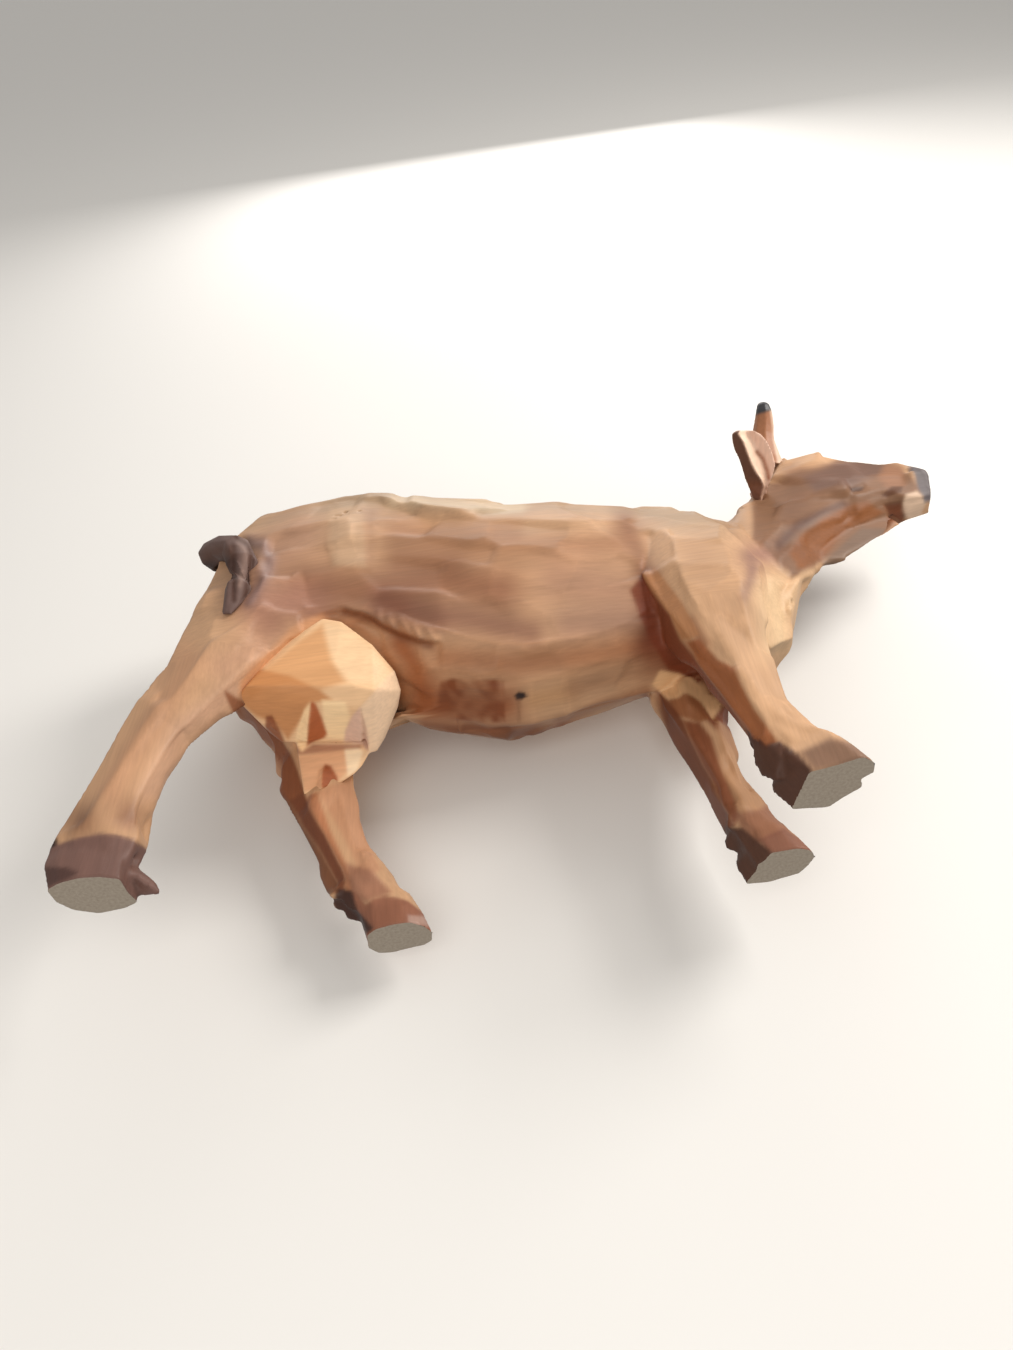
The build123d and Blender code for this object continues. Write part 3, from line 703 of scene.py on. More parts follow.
def whittle(points, facing, starts, ends, line_facing, turn_weight, scoop, blend, limit=0.0013):
    """Points moved to the flat cuts along the lines, with their cuts and how near they are to a ridge."""
    count, lines, kept, candidates = len(points), len(starts), 4, 44
    near_line = np.zeros((count, kept), int)
    near_gap = np.full((count, kept), 1.0)
    box_size = 0.014
    boxes = np.floor(points / box_size).astype(int)
    # One number for each box of the grid, so that its points are worked on together
    keys = boxes[:, 0] * 10000 + boxes[:, 1] * 100 + boxes[:, 2]
    middles = (starts + ends) / 2
    reach = np.linalg.norm(ends - starts, axis=1) / 2
    for key in np.unique(keys):
        inside = np.nonzero(keys == key)[0]
        heart = points[inside].mean(0)
        near = np.argsort(np.linalg.norm(middles - heart, axis=1) - reach)[:candidates]
        along = ends[near] - starts[near]
        length2 = np.maximum(np.sum(along ** 2, axis=1), 1e-12)
        offset = points[inside][:, None, :] - starts[near][None]
        share = np.clip(np.sum(offset * along[None], axis=2) / length2, 0, 1)
        gap2 = np.sum((offset - share[..., None] * along[None]) ** 2, axis=2)
        turned = np.sum((facing[inside][:, None, :] - line_facing[near][None]) ** 2, axis=2)
        measure = np.sqrt(gap2 + turn_weight ** 2 * turned)
        best = np.argsort(measure, axis=1)[:, :kept]
        near_line[inside] = near[best]
        near_gap[inside] = np.take_along_axis(measure, best, 1)
    nearest = near_line[:, 0]
    size = np.maximum(np.bincount(nearest, minlength=lines), 1)
    heart = np.stack([np.bincount(nearest, points[:, k], lines) for k in range(3)], 1) / size[:, None]
    normal = np.stack([np.bincount(nearest, facing[:, k], lines) for k in range(3)], 1)
    normal /= np.maximum(np.linalg.norm(normal, axis=1), 1e-9)[:, None]
    weights = np.exp(-((near_gap - near_gap[:, :1]) / blend) ** 2)
    weights /= weights.sum(1)[:, None]
    move = np.zeros(count)
    for k in range(kept):
        cut = near_line[:, k]
        lean = np.maximum(np.sum(normal[cut] * facing, axis=1), 0.4)
        rise = np.sum((heart[cut] - points) * normal[cut], axis=1) / lean
        move += weights[:, k] * np.clip(rise, -limit, limit)
    closeness = near_gap[:, 0] / np.maximum(near_gap[:, 1], 1e-9)
    move -= scoop * (1 - closeness ** 2)
    return points + facing * move[:, None], nearest, closeness


def cut_spacing(place):
    """Cuts are broad on the trunk, narrower on the legs, and small on the head."""
    on_head, on_trunk, on_legs = 0.0075, 0.0115, 0.0080
    head_from, head_above, legs_below = 0.066, 0.075, 0.050
    if place[0] > head_from and place[2] > head_above:
        return on_head
    return on_legs if place[2] < legs_below else on_trunk


laid = laid_lines(trunk_cuts + shoulder_cuts + fore_cuts + head_cuts + hind_cuts,
                  blank, blank_facing, spots, seen)
far_side = laid_lines(trunk_cuts + shoulder_cuts + head_cuts, blank, blank_facing, spots, seen)
far_side = [mirrored(far_side[0]), mirrored(far_side[1]), far_side[2] * (1, -1, 1)]
taken = np.vstack([places for a, b, _ in (laid, far_side) for places in (a, b, (a + b) / 2)])
free = free_lines(blank, blank_facing, cut_spacing, taken)
starts, ends, line_facing = (np.vstack(group) for group in zip(laid, far_side, free))
turn_weight, scoop_depth, ridge_width = 0.011, 0.00008, 0.0010
carved, cut_of, ridge = whittle(
    blank, blank_facing, starts, ends, line_facing, turn_weight, scoop_depth, ridge_width)
carved = spread(carved, blank_pairs, 2)
near_sole = falling(blank[:, 2], 0.0145, 0.004)[:, None]
carved = blank * near_sole + carved * (1 - near_sole)
carved[:, 2] = np.maximum(carved[:, 2], 0)

# Details cut after the broad facets: hip bones, belly fold with its small nicks, eye, cheek, nose
# and mouth, and the drilled hole. Each is laid out in the picture and raised toward the eye, by a
# height in millimetres.
seen_or_twin = spots[:, 0] > nowhere
to_eye = np.array(eye) - carved
to_eye[~seen] = mirrored(eye) - carved[~seen]
to_eye /= np.linalg.norm(to_eye, axis=1)[:, None]
rise = np.zeros(len(carved))


def above(spots, line):
    """How far each place lies above a line that runs from left to right, and whether it faces it."""
    line = np.array(line, float)
    level = np.interp(spots[:, 0], line[:, 0], line[:, 1])
    ends = soft_edge(spots[:, 0] - line[0, 0], 6) * soft_edge(line[-1, 0] - spots[:, 0], 6)
    return level - spots[:, 1], ends


def ledge(line, height, run, sink, sink_run):
    """A ledge that rises to a line and drops off under it."""
    over, ends = above(spots, line)
    up = np.clip(1 - over / run, 0, 1) * height
    down = -np.clip(1 + over / sink_run, 0, 1) * sink
    share = np.clip(over / 2.5 + 0.5, 0, 1)
    return (up * share + down * (1 - share)) * ends


trunk_from = 0.050
on_trunk = carved[:, 2] > trunk_from
belly_fold = [
    (300, 616), (318, 612), (340, 608), (352, 612), (362, 613), (372, 618), (385, 628), (400, 634),
    (420, 641), (440, 643),
]
rise += ledge(belly_fold, 0.7, 16, 1.6, 26) * on_trunk
rise += 1.3 * close_to(spots, [(250, 541), (264, 546), (270, 560), (263, 582), (250, 602)], 5)
hip_left = [(338, 505), (330, 540), (332, 555), (336, 566), (366, 567), (366, 545), (362, 508)]
hip_right = [(360, 508), (378, 508), (376, 548), (371, 568), (362, 560)]
rise += 0.9 * soft_edge(within(spots, hip_left), 14) + 0.5 * soft_edge(within(spots, hip_right), 14)
for nick in ([(379, 611), (381, 619)], [(389, 616), (393, 628)], [(401, 621), (408, 633)],
             [(414, 628), (420, 639)], [(428, 630), (435, 642)]):
    rise += 0.7 * close_to(spots, nick, 3) * on_trunk
nose_end = [(905, 493), (917, 490), (929, 501), (921, 516), (909, 522), (901, 509)]
mouth = [(885, 505), (901, 503), (906, 524), (891, 526), (885, 515)]
eye_line, brow = [(850, 490), (863, 486)], [(846, 484), (864, 480)]
cheek_line = [(860, 510), (880, 500), (900, 496)]
rise += 0.5 * soft_edge(within(spots, nose_end), 5) - 1.1 * soft_edge(within(spots, mouth), 4)
rise += 0.4 * close_to(spots, brow, 4) - 0.45 * close_to(spots, eye_line, 3.5)
rise += 0.4 * close_to(spots, cheek_line, 5)
drill_spot, drill_reach = [(518, 697), (522, 697)], 4.0
rise -= 3.0 * soft_edge(drill_reach - line_gap(spots, drill_spot), 2.5) * on_trunk * seen
rise = spread(np.where(seen_or_twin, rise, 0.0), blank_pairs, 1)
carved = carved + to_eye * (rise / 1000)[:, None]

# Folds left by crossing cuts are rubbed down: places that turn away from those round them
folded_below, fold_floor, rub_floor = 0.66, 0.006, 0.004
carved_facing = outward(carved, blank_squares)
folded = np.sum(carved_facing * spread(carved_facing, blank_pairs, 8), axis=1) < folded_below
rubbed = np.clip(spread(folded.astype(float), blank_pairs, 6) * 8, 0, 1) * (blank[:, 2] > fold_floor)
rubbed = rubbed[:, None]
carved = carved + (spread(carved, blank_pairs, 16) - carved) * rubbed
# Places in the picture that are rubbed smooth, with their reach in pixels
rub_places = [
    ([(787, 598), (784, 606)], 11), ([(341, 513)], 9), ([(776, 545), (770, 556)], 9),
    ([(812, 553), (800, 566)], 9), ([(758, 742), (772, 760)], 7), ([(732, 513), (741, 508)], 10),
    ([(785, 459)], 6), ([(772, 552), (795, 529), (815, 515), (839, 504)], 9), ([(744, 591)], 6),
    ([(770, 800), (778, 810)], 7),
]
for line, reach in rub_places:
    share = (close_to(spots, line, reach) * (blank[:, 2] > rub_floor))[:, None]
    carved = carved + (spread(carved, blank_pairs, 24) - carved) * share
for _ in range(3):
    carved = spread(trimmed(carved), blank_pairs, 1) * rubbed + trimmed(carved) * (1 - rubbed)
carved[:, 2] = np.maximum(carved[:, 2], 0)


# Colour. The pale wood is toned with thin brown stain, laid on softly with broad strokes, and
# the hooves are covered; some strokes and patches are painted shade and painted highlights instead. Places
# that are out of sight take the tone of the nearest seen ones, painted shade included.
def tone(red, green, blue):
    """A colour given as on a screen, from 0 to 255, as amounts of light."""
    return np.array([((c / 255 + 0.055) / 1.055) ** 2.4 for c in (red, green, blue)])


known = np.nonzero(seen_or_twin)[0][::2]
tree = KDTree(len(known))
for order, index in enumerate(known):
    tree.insert(carved[index], order)
tree.balance()
paint_spots = spots.copy()
for index in np.nonzero(~seen_or_twin)[0]:
    paint_spots[index] = spots[known[tree.find(carved[index])[1]]]

bare_tone = (192, 151, 115)
stain_and_painted_light = np.tile(tone(*bare_tone), (len(carved), 1))


def cover_with(colours, share, colour):
    """The colours with a share of another laid over them."""
    return colours * (1 - share[:, None]) + tone(*colour) * share[:, None]


def brush(stain_and_painted_light, line, width, colour, strength):
    """Colour laid on along a line and fading off to both sides: stain, and in places painted shade and
    highlight.
    """
    return cover_with(stain_and_painted_light, strength * close_to(paint_spots, line, width), colour)


def patch(stain_and_painted_light, corners, colour, strength, soft):
    """Colour laid on inside an outline: stain, and in places painted shade and highlight."""
    return cover_with(stain_and_painted_light, strength * soft_edge(within(paint_spots, corners), soft), colour)


# Strokes of stain, with some of painted shade and one painted highlight: line in the picture, width,
# colour, strength
strokes = [
    ([(250, 520), (385, 495), (500, 500), (620, 505), (720, 520)], 16, (163, 136, 108), 0.9),
    ([(300, 535), (260, 560)], 30, (172, 132, 108), 0.8),
    ([(400, 535), (500, 540), (620, 540)], 22, (155, 110, 78), 0.85),
    ([(300, 590), (380, 590), (450, 580), (500, 590)], 30, (136, 90, 64), 0.9),
    ([(560, 580), (620, 590)], 28, (159, 117, 94), 0.7),
    ([(380, 605), (430, 615), (480, 622), (530, 632)], 18, (124, 84, 66), 0.8),
    ([(570, 625), (630, 620)], 22, (145, 109, 89), 0.8),
    ([(385, 600), (410, 607), (435, 620)], 14, (108, 66, 50), 0.5),
    ([(270, 620), (250, 600), (310, 605)], 26, (146, 102, 83), 0.85),
    ([(225, 665), (260, 650)], 20, (183, 140, 113), 0.7),
    ([(190, 660), (150, 730), (110, 790)], 18, (176, 130, 98), 0.7),
    ([(235, 690), (180, 730), (150, 790)], 14, (185, 146, 121), 0.7),
    ([(80, 820)], 22, (116, 78, 55), 0.85),
    ([(130, 815)], 18, (128, 90, 70), 0.8),
    ([(400, 645), (420, 680), (430, 710)], 16, (147, 80, 37), 0.9),
    ([(445, 658), (520, 664), (600, 655), (650, 645)], 16, (157, 105, 70), 0.9),
    ([(430, 700), (505, 705)], 22, (134, 74, 39), 0.9),
    ([(535, 700), (570, 692)], 12, (178, 134, 94), 0.85),
    ([(575, 688), (645, 672)], 13, (156, 114, 82), 0.8),
    # Painted shade along the lowest edge of the belly.
    ([(430, 728), (480, 733), (520, 735), (560, 726)], 10, (102, 52, 25), 0.9),
    ([(625, 520), (632, 535), (646, 578)], 11, (118, 72, 46), 0.6),
    # This stroke and the next darken the wood behind the right foreleg: partly stain, partly painted shade.
    ([(648, 578), (648, 610), (650, 640)], 11, (98, 44, 21), 0.85),
    ([(650, 650), (675, 670)], 20, (108, 50, 23), 0.8),
    ([(745, 597), (753, 569)], 7, (129, 92, 82), 0.8),
    ([(753, 555), (781, 552)], 13, (140, 100, 88), 0.8),
    ([(735, 520)], 16, (154, 121, 94), 0.8),
    ([(250, 541), (264, 546), (270, 560), (263, 582), (250, 602)], 7, (125, 98, 92), 0.8),
    ([(700, 560), (730, 610), (755, 618)], 22, (178, 138, 104), 0.75),
    ([(800, 500), (790, 510)], 14, (82, 52, 35), 0.8),
    ([(385, 597), (400, 604)], 10, (108, 62, 43), 0.4),
    ([(790, 470), (800, 480)], 12, (120, 82, 60), 0.6),
    ([(400, 562), (450, 564)], 15, (132, 88, 62), 0.6),
    ([(530, 527), (600, 525)], 10, (190, 152, 118), 0.7),
    ([(775, 594), (781, 640)], 19, (218, 186, 146), 0.85),
    ([(806, 572), (788, 588)], 9, (208, 172, 134), 0.7),
    ([(690, 622), (704, 644)], 7, (124, 70, 36), 0.7),
    # Painted highlight on the upper band of the back.
    ([(395, 502), (450, 501), (520, 506)], 7, (196, 172, 142), 0.8),
    # Painted shade along the lower edge of the belly, further forward.
    ([(560, 722), (600, 706), (645, 690)], 6, (120, 68, 36), 0.7),
]
# Patches of stain, with some of painted shade: outline in the picture, colour, strength, softness of the
# edge
patches = [
    ([(330, 506), (340, 506), (362, 508), (366, 545), (366, 567), (334, 566), (330, 548)],
     (189, 155, 124), 0.8, 8),
    ([(362, 508), (380, 508), (376, 548), (370, 568), (366, 560)], (150, 112, 86), 0.55, 16),
    # Painted shade on the inner side of the left thigh, between the hind legs.
    ([(242, 700), (256, 712), (268, 722), (282, 741), (292, 756), (303, 794), (312, 812), (325, 835),
     (340, 870), (346, 893), (338, 893), (320, 852), (300, 820), (280, 790), (275, 765), (262, 745),
     (240, 702)], (106, 54, 30), 0.95, 4),
    ([(303, 794), (318, 794), (330, 830), (345, 862), (355, 895), (346, 893), (340, 870), (325, 835),
     (312, 812)], (167, 108, 74), 0.9, 4),
    ([(318, 794), (352, 778), (356, 800), (366, 845), (380, 870), (365, 885), (350, 850), (335, 822)],
     (185, 136, 103), 0.9, 6),
    ([(345, 862), (372, 872), (392, 892), (366, 902), (352, 895)], (149, 102, 79), 0.9, 6),
    # Partly stain, partly painted shade on the back of the right foreleg.
    ([(645, 575), (680, 640), (700, 665), (720, 690), (740, 720), (752, 742), (745, 760), (715, 730),
     (680, 690), (650, 640), (630, 590)], (108, 43, 14), 0.9, 5),
    ([(700, 640), (718, 660), (735, 668), (742, 685), (755, 710), (778, 742), (765, 748), (752, 742),
     (740, 720), (720, 690), (700, 665), (684, 642)], (140, 76, 35), 0.9, 4),
    ([(655, 567), (680, 600), (700, 635), (690, 640), (680, 640), (645, 575)], (168, 115, 74), 0.9, 4),
    ([(668, 700), (675, 715), (700, 722), (716, 718), (700, 702), (684, 696)], (140, 84, 49), 0.9, 4),
    ([(655, 690), (668, 700), (683, 720), (700, 760), (720, 800), (735, 825), (722, 832), (700, 800),
     (670, 740)], (98, 43, 19), 0.9, 4),
    ([(683, 720), (700, 722), (712, 738), (722, 770), (735, 795), (740, 815), (735, 825), (720, 800),
     (700, 760)], (118, 58, 28), 0.9, 4),
    ([(716, 720), (740, 726), (752, 760), (770, 800), (790, 830), (758, 842), (740, 815), (722, 770)],
     (165, 122, 87), 0.85, 6),
    ([(735, 815), (775, 805), (795, 828), (757, 843), (742, 830)], (134, 87, 65), 0.8, 6),
    ([(752, 500), (770, 485), (800, 468), (840, 462), (900, 464), (925, 490), (905, 520), (880, 540),
     (850, 550), (820, 562), (800, 575), (785, 570), (760, 545), (752, 541)], (115, 79, 55), 0.9, 8),
    ([(803, 475), (825, 465), (839, 463), (887, 465), (883, 473), (845, 489), (815, 493)],
     (101, 73, 62), 0.8, 11),
    ([(788, 552), (800, 536), (822, 519), (846, 505), (868, 501), (884, 512), (868, 521), (850, 528),
     (836, 541), (822, 560), (806, 567), (795, 562)], (130, 76, 34), 0.92, 7),
    # Painted shade along the valley under the cheek.
    ([(775, 542), (795, 522), (815, 512), (843, 500), (850, 504), (818, 519), (798, 532), (778, 551)],
     (84, 48, 30), 0.85, 9),
    ([(848, 488), (856, 485.5), (865, 486), (862, 490), (852, 491)], (66, 40, 30), 0.8, 2.5),
    # Painted shade on the underside of the jaw.
    ([(823, 563), (846, 541), (862, 527), (886, 529), (888, 534), (855, 555), (827, 570)],
     (112, 88, 71), 0.9, 5),
    ([(885, 463), (903, 465), (905, 485), (890, 492), (878, 478)], (146, 101, 72), 0.85, 9),
    ([(905, 495), (917, 491), (927, 501), (921, 515), (909, 521), (901, 509)], (214, 184, 158),
     0.95, 4),
    # Painted shade in the mouth.
    ([(885, 505), (901, 503), (905, 523), (889, 525)], (118, 64, 36), 0.95, 6),
    ([(881, 495), (891, 487), (903, 486), (901, 493), (887, 497)], (89, 52, 29), 0.95, 2),
    ([(895, 458), (908, 464), (915, 476), (920, 490), (925, 503), (945, 500), (945, 460), (903, 452)],
     (97, 92, 96), 0.95, 4),
    ([(30, 830), (48, 838), (57, 844), (78, 838), (100, 833), (118, 835), (132, 839), (148, 849),
     (180, 900), (150, 930), (20, 930)], (104, 75, 69), 0.95, 3),
    ([(42, 867), (68, 867.5), (78, 873), (62, 882), (47, 887), (30, 886)], (69, 44, 38), 0.9, 3),
    ([(46, 842), (52, 838), (57.5, 839), (56.7, 845), (48, 850), (43, 852)], (39, 23, 19), 0.95, 2),
    ([(335, 890), (355, 892), (365.5, 904), (374, 899), (385.5, 895.5), (399, 898), (408, 901),
     (421, 911), (432, 920), (440, 960), (350, 960), (335, 930)], (136, 86, 65), 0.95, 3),
    ([(335, 888), (352, 891), (358, 911), (374, 929), (368, 933), (335, 930)], (47, 26, 21), 0.9, 3),
    ([(408, 915), (434, 917), (434, 926), (408, 926)], (170, 140, 127), 0.8, 3),
    ([(744, 728), (765, 745), (780, 741), (800, 755), (813, 770), (795, 815), (765, 805), (750, 780)],
     (63, 31, 21), 0.95, 4),
    ([(800, 752), (830, 738), (860, 744), (880, 760), (815, 771)], (121, 90, 72), 0.9, 8),
    ([(718, 826), (743, 828), (758, 841), (775, 853), (748, 888), (725, 885), (716, 850)], (67, 36, 26),
     0.95, 4),
    ([(757, 840), (785, 828), (812, 846), (815, 856), (775, 855)], (125, 80, 62), 0.95, 4),
    ([(652, 684), (668, 699), (684, 696), (700, 701), (716, 717), (722, 705), (705, 688), (680, 674),
     (660, 670)], (214, 170, 124), 0.9, 3),
    ([(240, 702), (243, 682), (262, 657), (290, 630), (322, 612), (330, 622), (290, 652), (262, 692)],
     (196, 140, 98), 0.8, 8),
    ([(225, 690), (243, 702), (256, 714), (268, 724), (282, 743), (292, 760), (300, 790), (290, 800),
     (250, 780)], (132, 78, 48), 0.9, 4),
    ([(255, 775), (282, 790), (300, 820), (320, 852), (338, 893), (325, 895), (285, 840)],
     (104, 58, 34), 0.9, 4),
]
for line, width, colour, strength in strokes:
    stain_and_painted_light = brush(stain_and_painted_light, line, width, colour, strength)
for corners, colour, strength, soft in patches:
    stain_and_painted_light = patch(stain_and_painted_light, corners, colour, strength, soft)
# Deep tones at the belly fold, the darkest of them painted shade under its ledge, a patch of old glue that
# ends in a straight line, and painted shade in the drilled hole
stain_and_painted_light = brush(stain_and_painted_light, [(345, 612), (375, 621), (400, 636), (430, 645)], 5, (110, 58, 30), 0.8)
stain_and_painted_light = brush(stain_and_painted_light, [(328, 622), (352, 625), (375, 642), (392, 667), (405, 692)], 5, (186, 118, 70), 0.5)
glue = [(440, 682), (452, 679), (505, 681), (505, 722), (470, 723), (446, 716), (438, 700)]
blotch = spread(chance.normal(0, 1, len(carved)), blank_pairs, 14)
blotch /= blotch.std()
glue_cover = np.clip(0.5 + 0.35 * blotch, 0, 1) * soft_edge(within(paint_spots, glue), 4)
stain_and_painted_light = cover_with(stain_and_painted_light, glue_cover, (118, 62, 30))
stain_and_painted_light = brush(stain_and_painted_light, [(519, 703), (519, 721)], 2, (110, 70, 44), 0.5)
# Painted shade inside the drilled hole, which here is a dent of about 3 mm.
hole_rim = [(514, 696), (518, 692.5), (524, 692.5), (528, 697), (523, 701.5), (517, 701.5)]
stain_and_painted_light = patch(stain_and_painted_light, hole_rim, (40, 22, 16), 1, 2)
# Uneven soaking, a tone of its own for each cut, and paler wood on the worn ridges
soaking, wear = 0.035, 0.10
broad_blotch = spread(blotch, blank_pairs, 60)
stain_and_painted_light = stain_and_painted_light * (1 + soaking * broad_blotch / broad_blotch.std())[:, None]
cut_tone = chance.uniform(0.94, 1.05, len(starts))
stain_and_painted_light = stain_and_painted_light * cut_tone[cut_of][:, None]
worn = rising(ridge, 0.93, 0.07)[:, None]
stain_and_painted_light = stain_and_painted_light * (1 + wear * worn)
stain_and_painted_light = np.where(seen[:, None], spread(stain_and_painted_light, blank_pairs, 1, 0.4), spread(stain_and_painted_light, blank_pairs, 14))


# The pieces: trunk, head and four legs. The carved skin is shared out along the glued joints, and
# each piece is closed there. They are satin wood with the stain soaked in, with the painted shade and
# highlights in the same colour, and bare under the soles.
def new_piece(name, points, faces, colours, materials, sole_faces):
    """A piece with its stain, painted shade and highlights, and materials, kept inside the box of the whole
    cow.
    """
    points = np.clip(points, *np.array(cad_box))
    mesh = bpy.data.meshes.new(name)
    mesh.from_pydata(points.tolist(), [], faces)
    for material in materials:
        mesh.materials.append(material)
    mesh.polygons.foreach_set("material_index", sole_faces)
    mesh.shade_smooth()
    layer = mesh.color_attributes.new("stain_and_painted_light", "FLOAT_COLOR", "POINT")
    layer.data.foreach_set("color", np.column_stack([colours, np.ones(len(colours))]).ravel())
    piece = bpy.data.objects.new(name, mesh)
    bpy.context.scene.collection.objects.link(piece)
    return piece


def add_relief(nodes, links, shader, height, strength, depth):
    """A fine relief on the shader."""
    relief = nodes.new("ShaderNodeBump")
    relief.inputs["Strength"].default_value = strength
    relief.inputs["Distance"].default_value = depth
    links.new(height, relief.inputs["Height"])
    links.new(relief.outputs["Normal"], shader.inputs["Normal"])


def wood_with_stain_and_painted_light(name, grain_axis, roughness):
    """Satin wood: the stain with its painted shade and highlights, streaks of grain along one axis, and a
    fine relief.
    """
    wood, nodes, links, shader = new_material(name)
    shader.inputs["Specular IOR Level"].default_value = 0.3
    layer = nodes.new("ShaderNodeVertexColor")
    layer.layer_name = "stain_and_painted_light"
    place = nodes.new("ShaderNodeTexCoord")

    def streaks(across, along):
        """Streaks of grain, this many to the metre across and along it."""
        mapping = nodes.new("ShaderNodeMapping")
        mapping.inputs["Scale"].default_value = [along if axis == grain_axis else across for axis in "XYZ"]
        noise = nodes.new("ShaderNodeTexNoise")
        noise.inputs["Scale"].default_value = 1.0
        noise.inputs["Detail"].default_value = 3
        links.new(place.outputs["Object"], mapping.inputs["Vector"])
        links.new(mapping.outputs["Vector"], noise.inputs["Vector"])
        return noise.outputs["Fac"]

    def stretched(source, low, high, darkest=0.0, lightest=1.0):
        """The source, stretched so that it runs from low to high."""
        span = nodes.new("ShaderNodeMapRange")
        ends = {"From Min": darkest, "From Max": lightest, "To Min": low, "To Max": high}
        for socket, value in ends.items():
            span.inputs[socket].default_value = value
        links.new(source, span.inputs["Value"])
        return span.outputs["Result"]

    broad, fine = streaks(260, 22), streaks(1500, 90)
    product = nodes.new("ShaderNodeMath")
    product.operation = "MULTIPLY"
    links.new(stretched(broad, 0.94, 1.05, 0.3, 0.7), product.inputs[0])
    links.new(stretched(fine, 0.93, 1.05, 0.3, 0.7), product.inputs[1])
    colour = nodes.new("ShaderNodeVectorMath")
    colour.operation = "SCALE"
    links.new(layer.outputs["Color"], colour.inputs[0])
    links.new(product.outputs["Value"], colour.inputs["Scale"])
    links.new(colour.outputs["Vector"], shader.inputs["Base Color"])
    links.new(stretched(broad, roughness - 0.08, roughness + 0.12), shader.inputs["Roughness"])
    add_relief(nodes, links, shader, fine, 0.12, 0.0003)
    return wood


def bare_sole(name):
    """Bare sawn wood under the hooves, grey with dust."""
    wood, nodes, links, shader = new_material(name)
    place = nodes.new("ShaderNodeTexCoord")
    speck = nodes.new("ShaderNodeTexNoise")
    speck.inputs["Scale"].default_value = 1700
    speck.inputs["Detail"].default_value = 4
    links.new(place.outputs["Object"], speck.inputs["Vector"])
    ramp = nodes.new("ShaderNodeValToRGB")
    dusty, bare = (0.25, (140, 128, 114)), (0.70, (160, 149, 134))
    for stop, (position, colour) in zip(ramp.color_ramp.elements, (dusty, bare)):
        stop.position = position
        stop.color = (*tone(*colour), 1)
    links.new(speck.outputs["Fac"], ramp.inputs["Fac"])
    links.new(ramp.outputs["Color"], shader.inputs["Base Color"])
    shader.inputs["Roughness"].default_value = 0.85
    add_relief(nodes, links, shader, speck.outputs["Fac"], 0.5, 0.0002)
    return wood


trunk_wood = wood_with_stain_and_painted_light("stained_trunk_wood_and_painted_light", "X", 0.52)
leg_wood = wood_with_stain_and_painted_light("stained_leg_wood_and_painted_shade", "Z", 0.52)
sole_wood = bare_sole("bare_sole_wood")


def gap_to(name, places):
    """Distance from each place to the surface of a block."""
    points, triangles = node_triangles(name)
    skin = BVHTree.FromPolygons(points.tolist(), triangles.tolist())
    return np.array([skin.find_nearest(Vector(place))[3] for place in places])


# Squares under a leg joint go to the leg or the trunk, whichever block is nearer, the leg first
face_heart = carved[blank_squares].mean(1)
owner_of_face = np.zeros(len(blank_squares), int)
owner_of_face[face_heart[:, 0] > joint_of_neck] = block_names.index("head")
tail_end, fore_end, leg_first = -0.12, joint_of_neck + 0.02, 0.0008
for start, end, below, choices in (
    (0, fore_end, joint_height_fore, (0, 3, 4)),
    (tail_end, 0, joint_height_hind, (0, 5, 6)),
):
    low = (face_heart[:, 0] > start) & (face_heart[:, 0] <= end) & (face_heart[:, 2] < below)
    low = np.nonzero(low)[0]
    gaps = np.stack([gap_to(block_names[k], face_heart[low]) for k in choices], 1)
    gaps[:, 0] += leg_first
    owner_of_face[low] = np.array(choices)[np.argmin(gaps, axis=1)]

# Stray squares at the joints go to the piece round them
for _ in range(4):
    votes = np.zeros((len(carved), len(block_names)))
    for k in range(4):
        np.add.at(votes, (blank_squares[:, k], owner_of_face), 1)
    owner_of_face = np.argmax(votes[blank_squares].sum(1), axis=1)


def close_rims(work):
    """Each open rim is closed by triangles that meet at its heart, inside the wood."""
    rim = [edge for edge in work.edges if edge.is_boundary]
    left = dict.fromkeys(rim)
    while left:
        chain, reached = [], [next(iter(left))]
        del left[reached[0]]
        while reached:
            edge = reached.pop()
            chain.append(edge)
            for vert in edge.verts:
                for other in vert.link_edges:
                    if other in left:
                        del left[other]
                        reached.append(other)
        places = {vert: vert.co.copy() for edge in chain for vert in edge.verts}
        heart = work.verts.new(sum(places.values(), Vector()) / len(places), chain[0].verts[0])
        for edge in chain:
            edge.smooth = False
            loop = edge.link_loops[0]
            work.faces.new((loop.link_loop_next.vert, loop.vert, heart))


on_sole = 0.00002
for order, name in enumerate(block_names):
    if name == "udder":
        continue
    chosen = np.nonzero(owner_of_face == order)[0]
    used, local = np.unique(blank_squares[chosen], return_inverse=True)
    faces = local.reshape(-1, 4)
    bottoms = (carved[blank_squares[chosen]][:, :, 2].max(1) < on_sole).astype(int)
    woods = [leg_wood if name.endswith("leg") else trunk_wood, sole_wood]
    piece = new_piece(name + "_wood", carved[used], faces.tolist(), stain_and_painted_light[used], woods, bottoms)
    work = bmesh.new()
    work.from_mesh(piece.data)
    close_rims(work)
    work.to_mesh(piece.data)
    work.free()
    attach(piece, "root")
    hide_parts(name)


# Horns, ears and tail. Each is whittled from its own bit of wood and glued into the head or the
# rump. The horns are brown with dark painted tips and a painted highlight along one edge, the ears are pale
# inside and brown outside with painted shade in their groove, and the tail is dark, with painted shade in
# its grooves and a painted shadow under its arch. Those of the left side mirror the right ones.
small_step = 0.0004


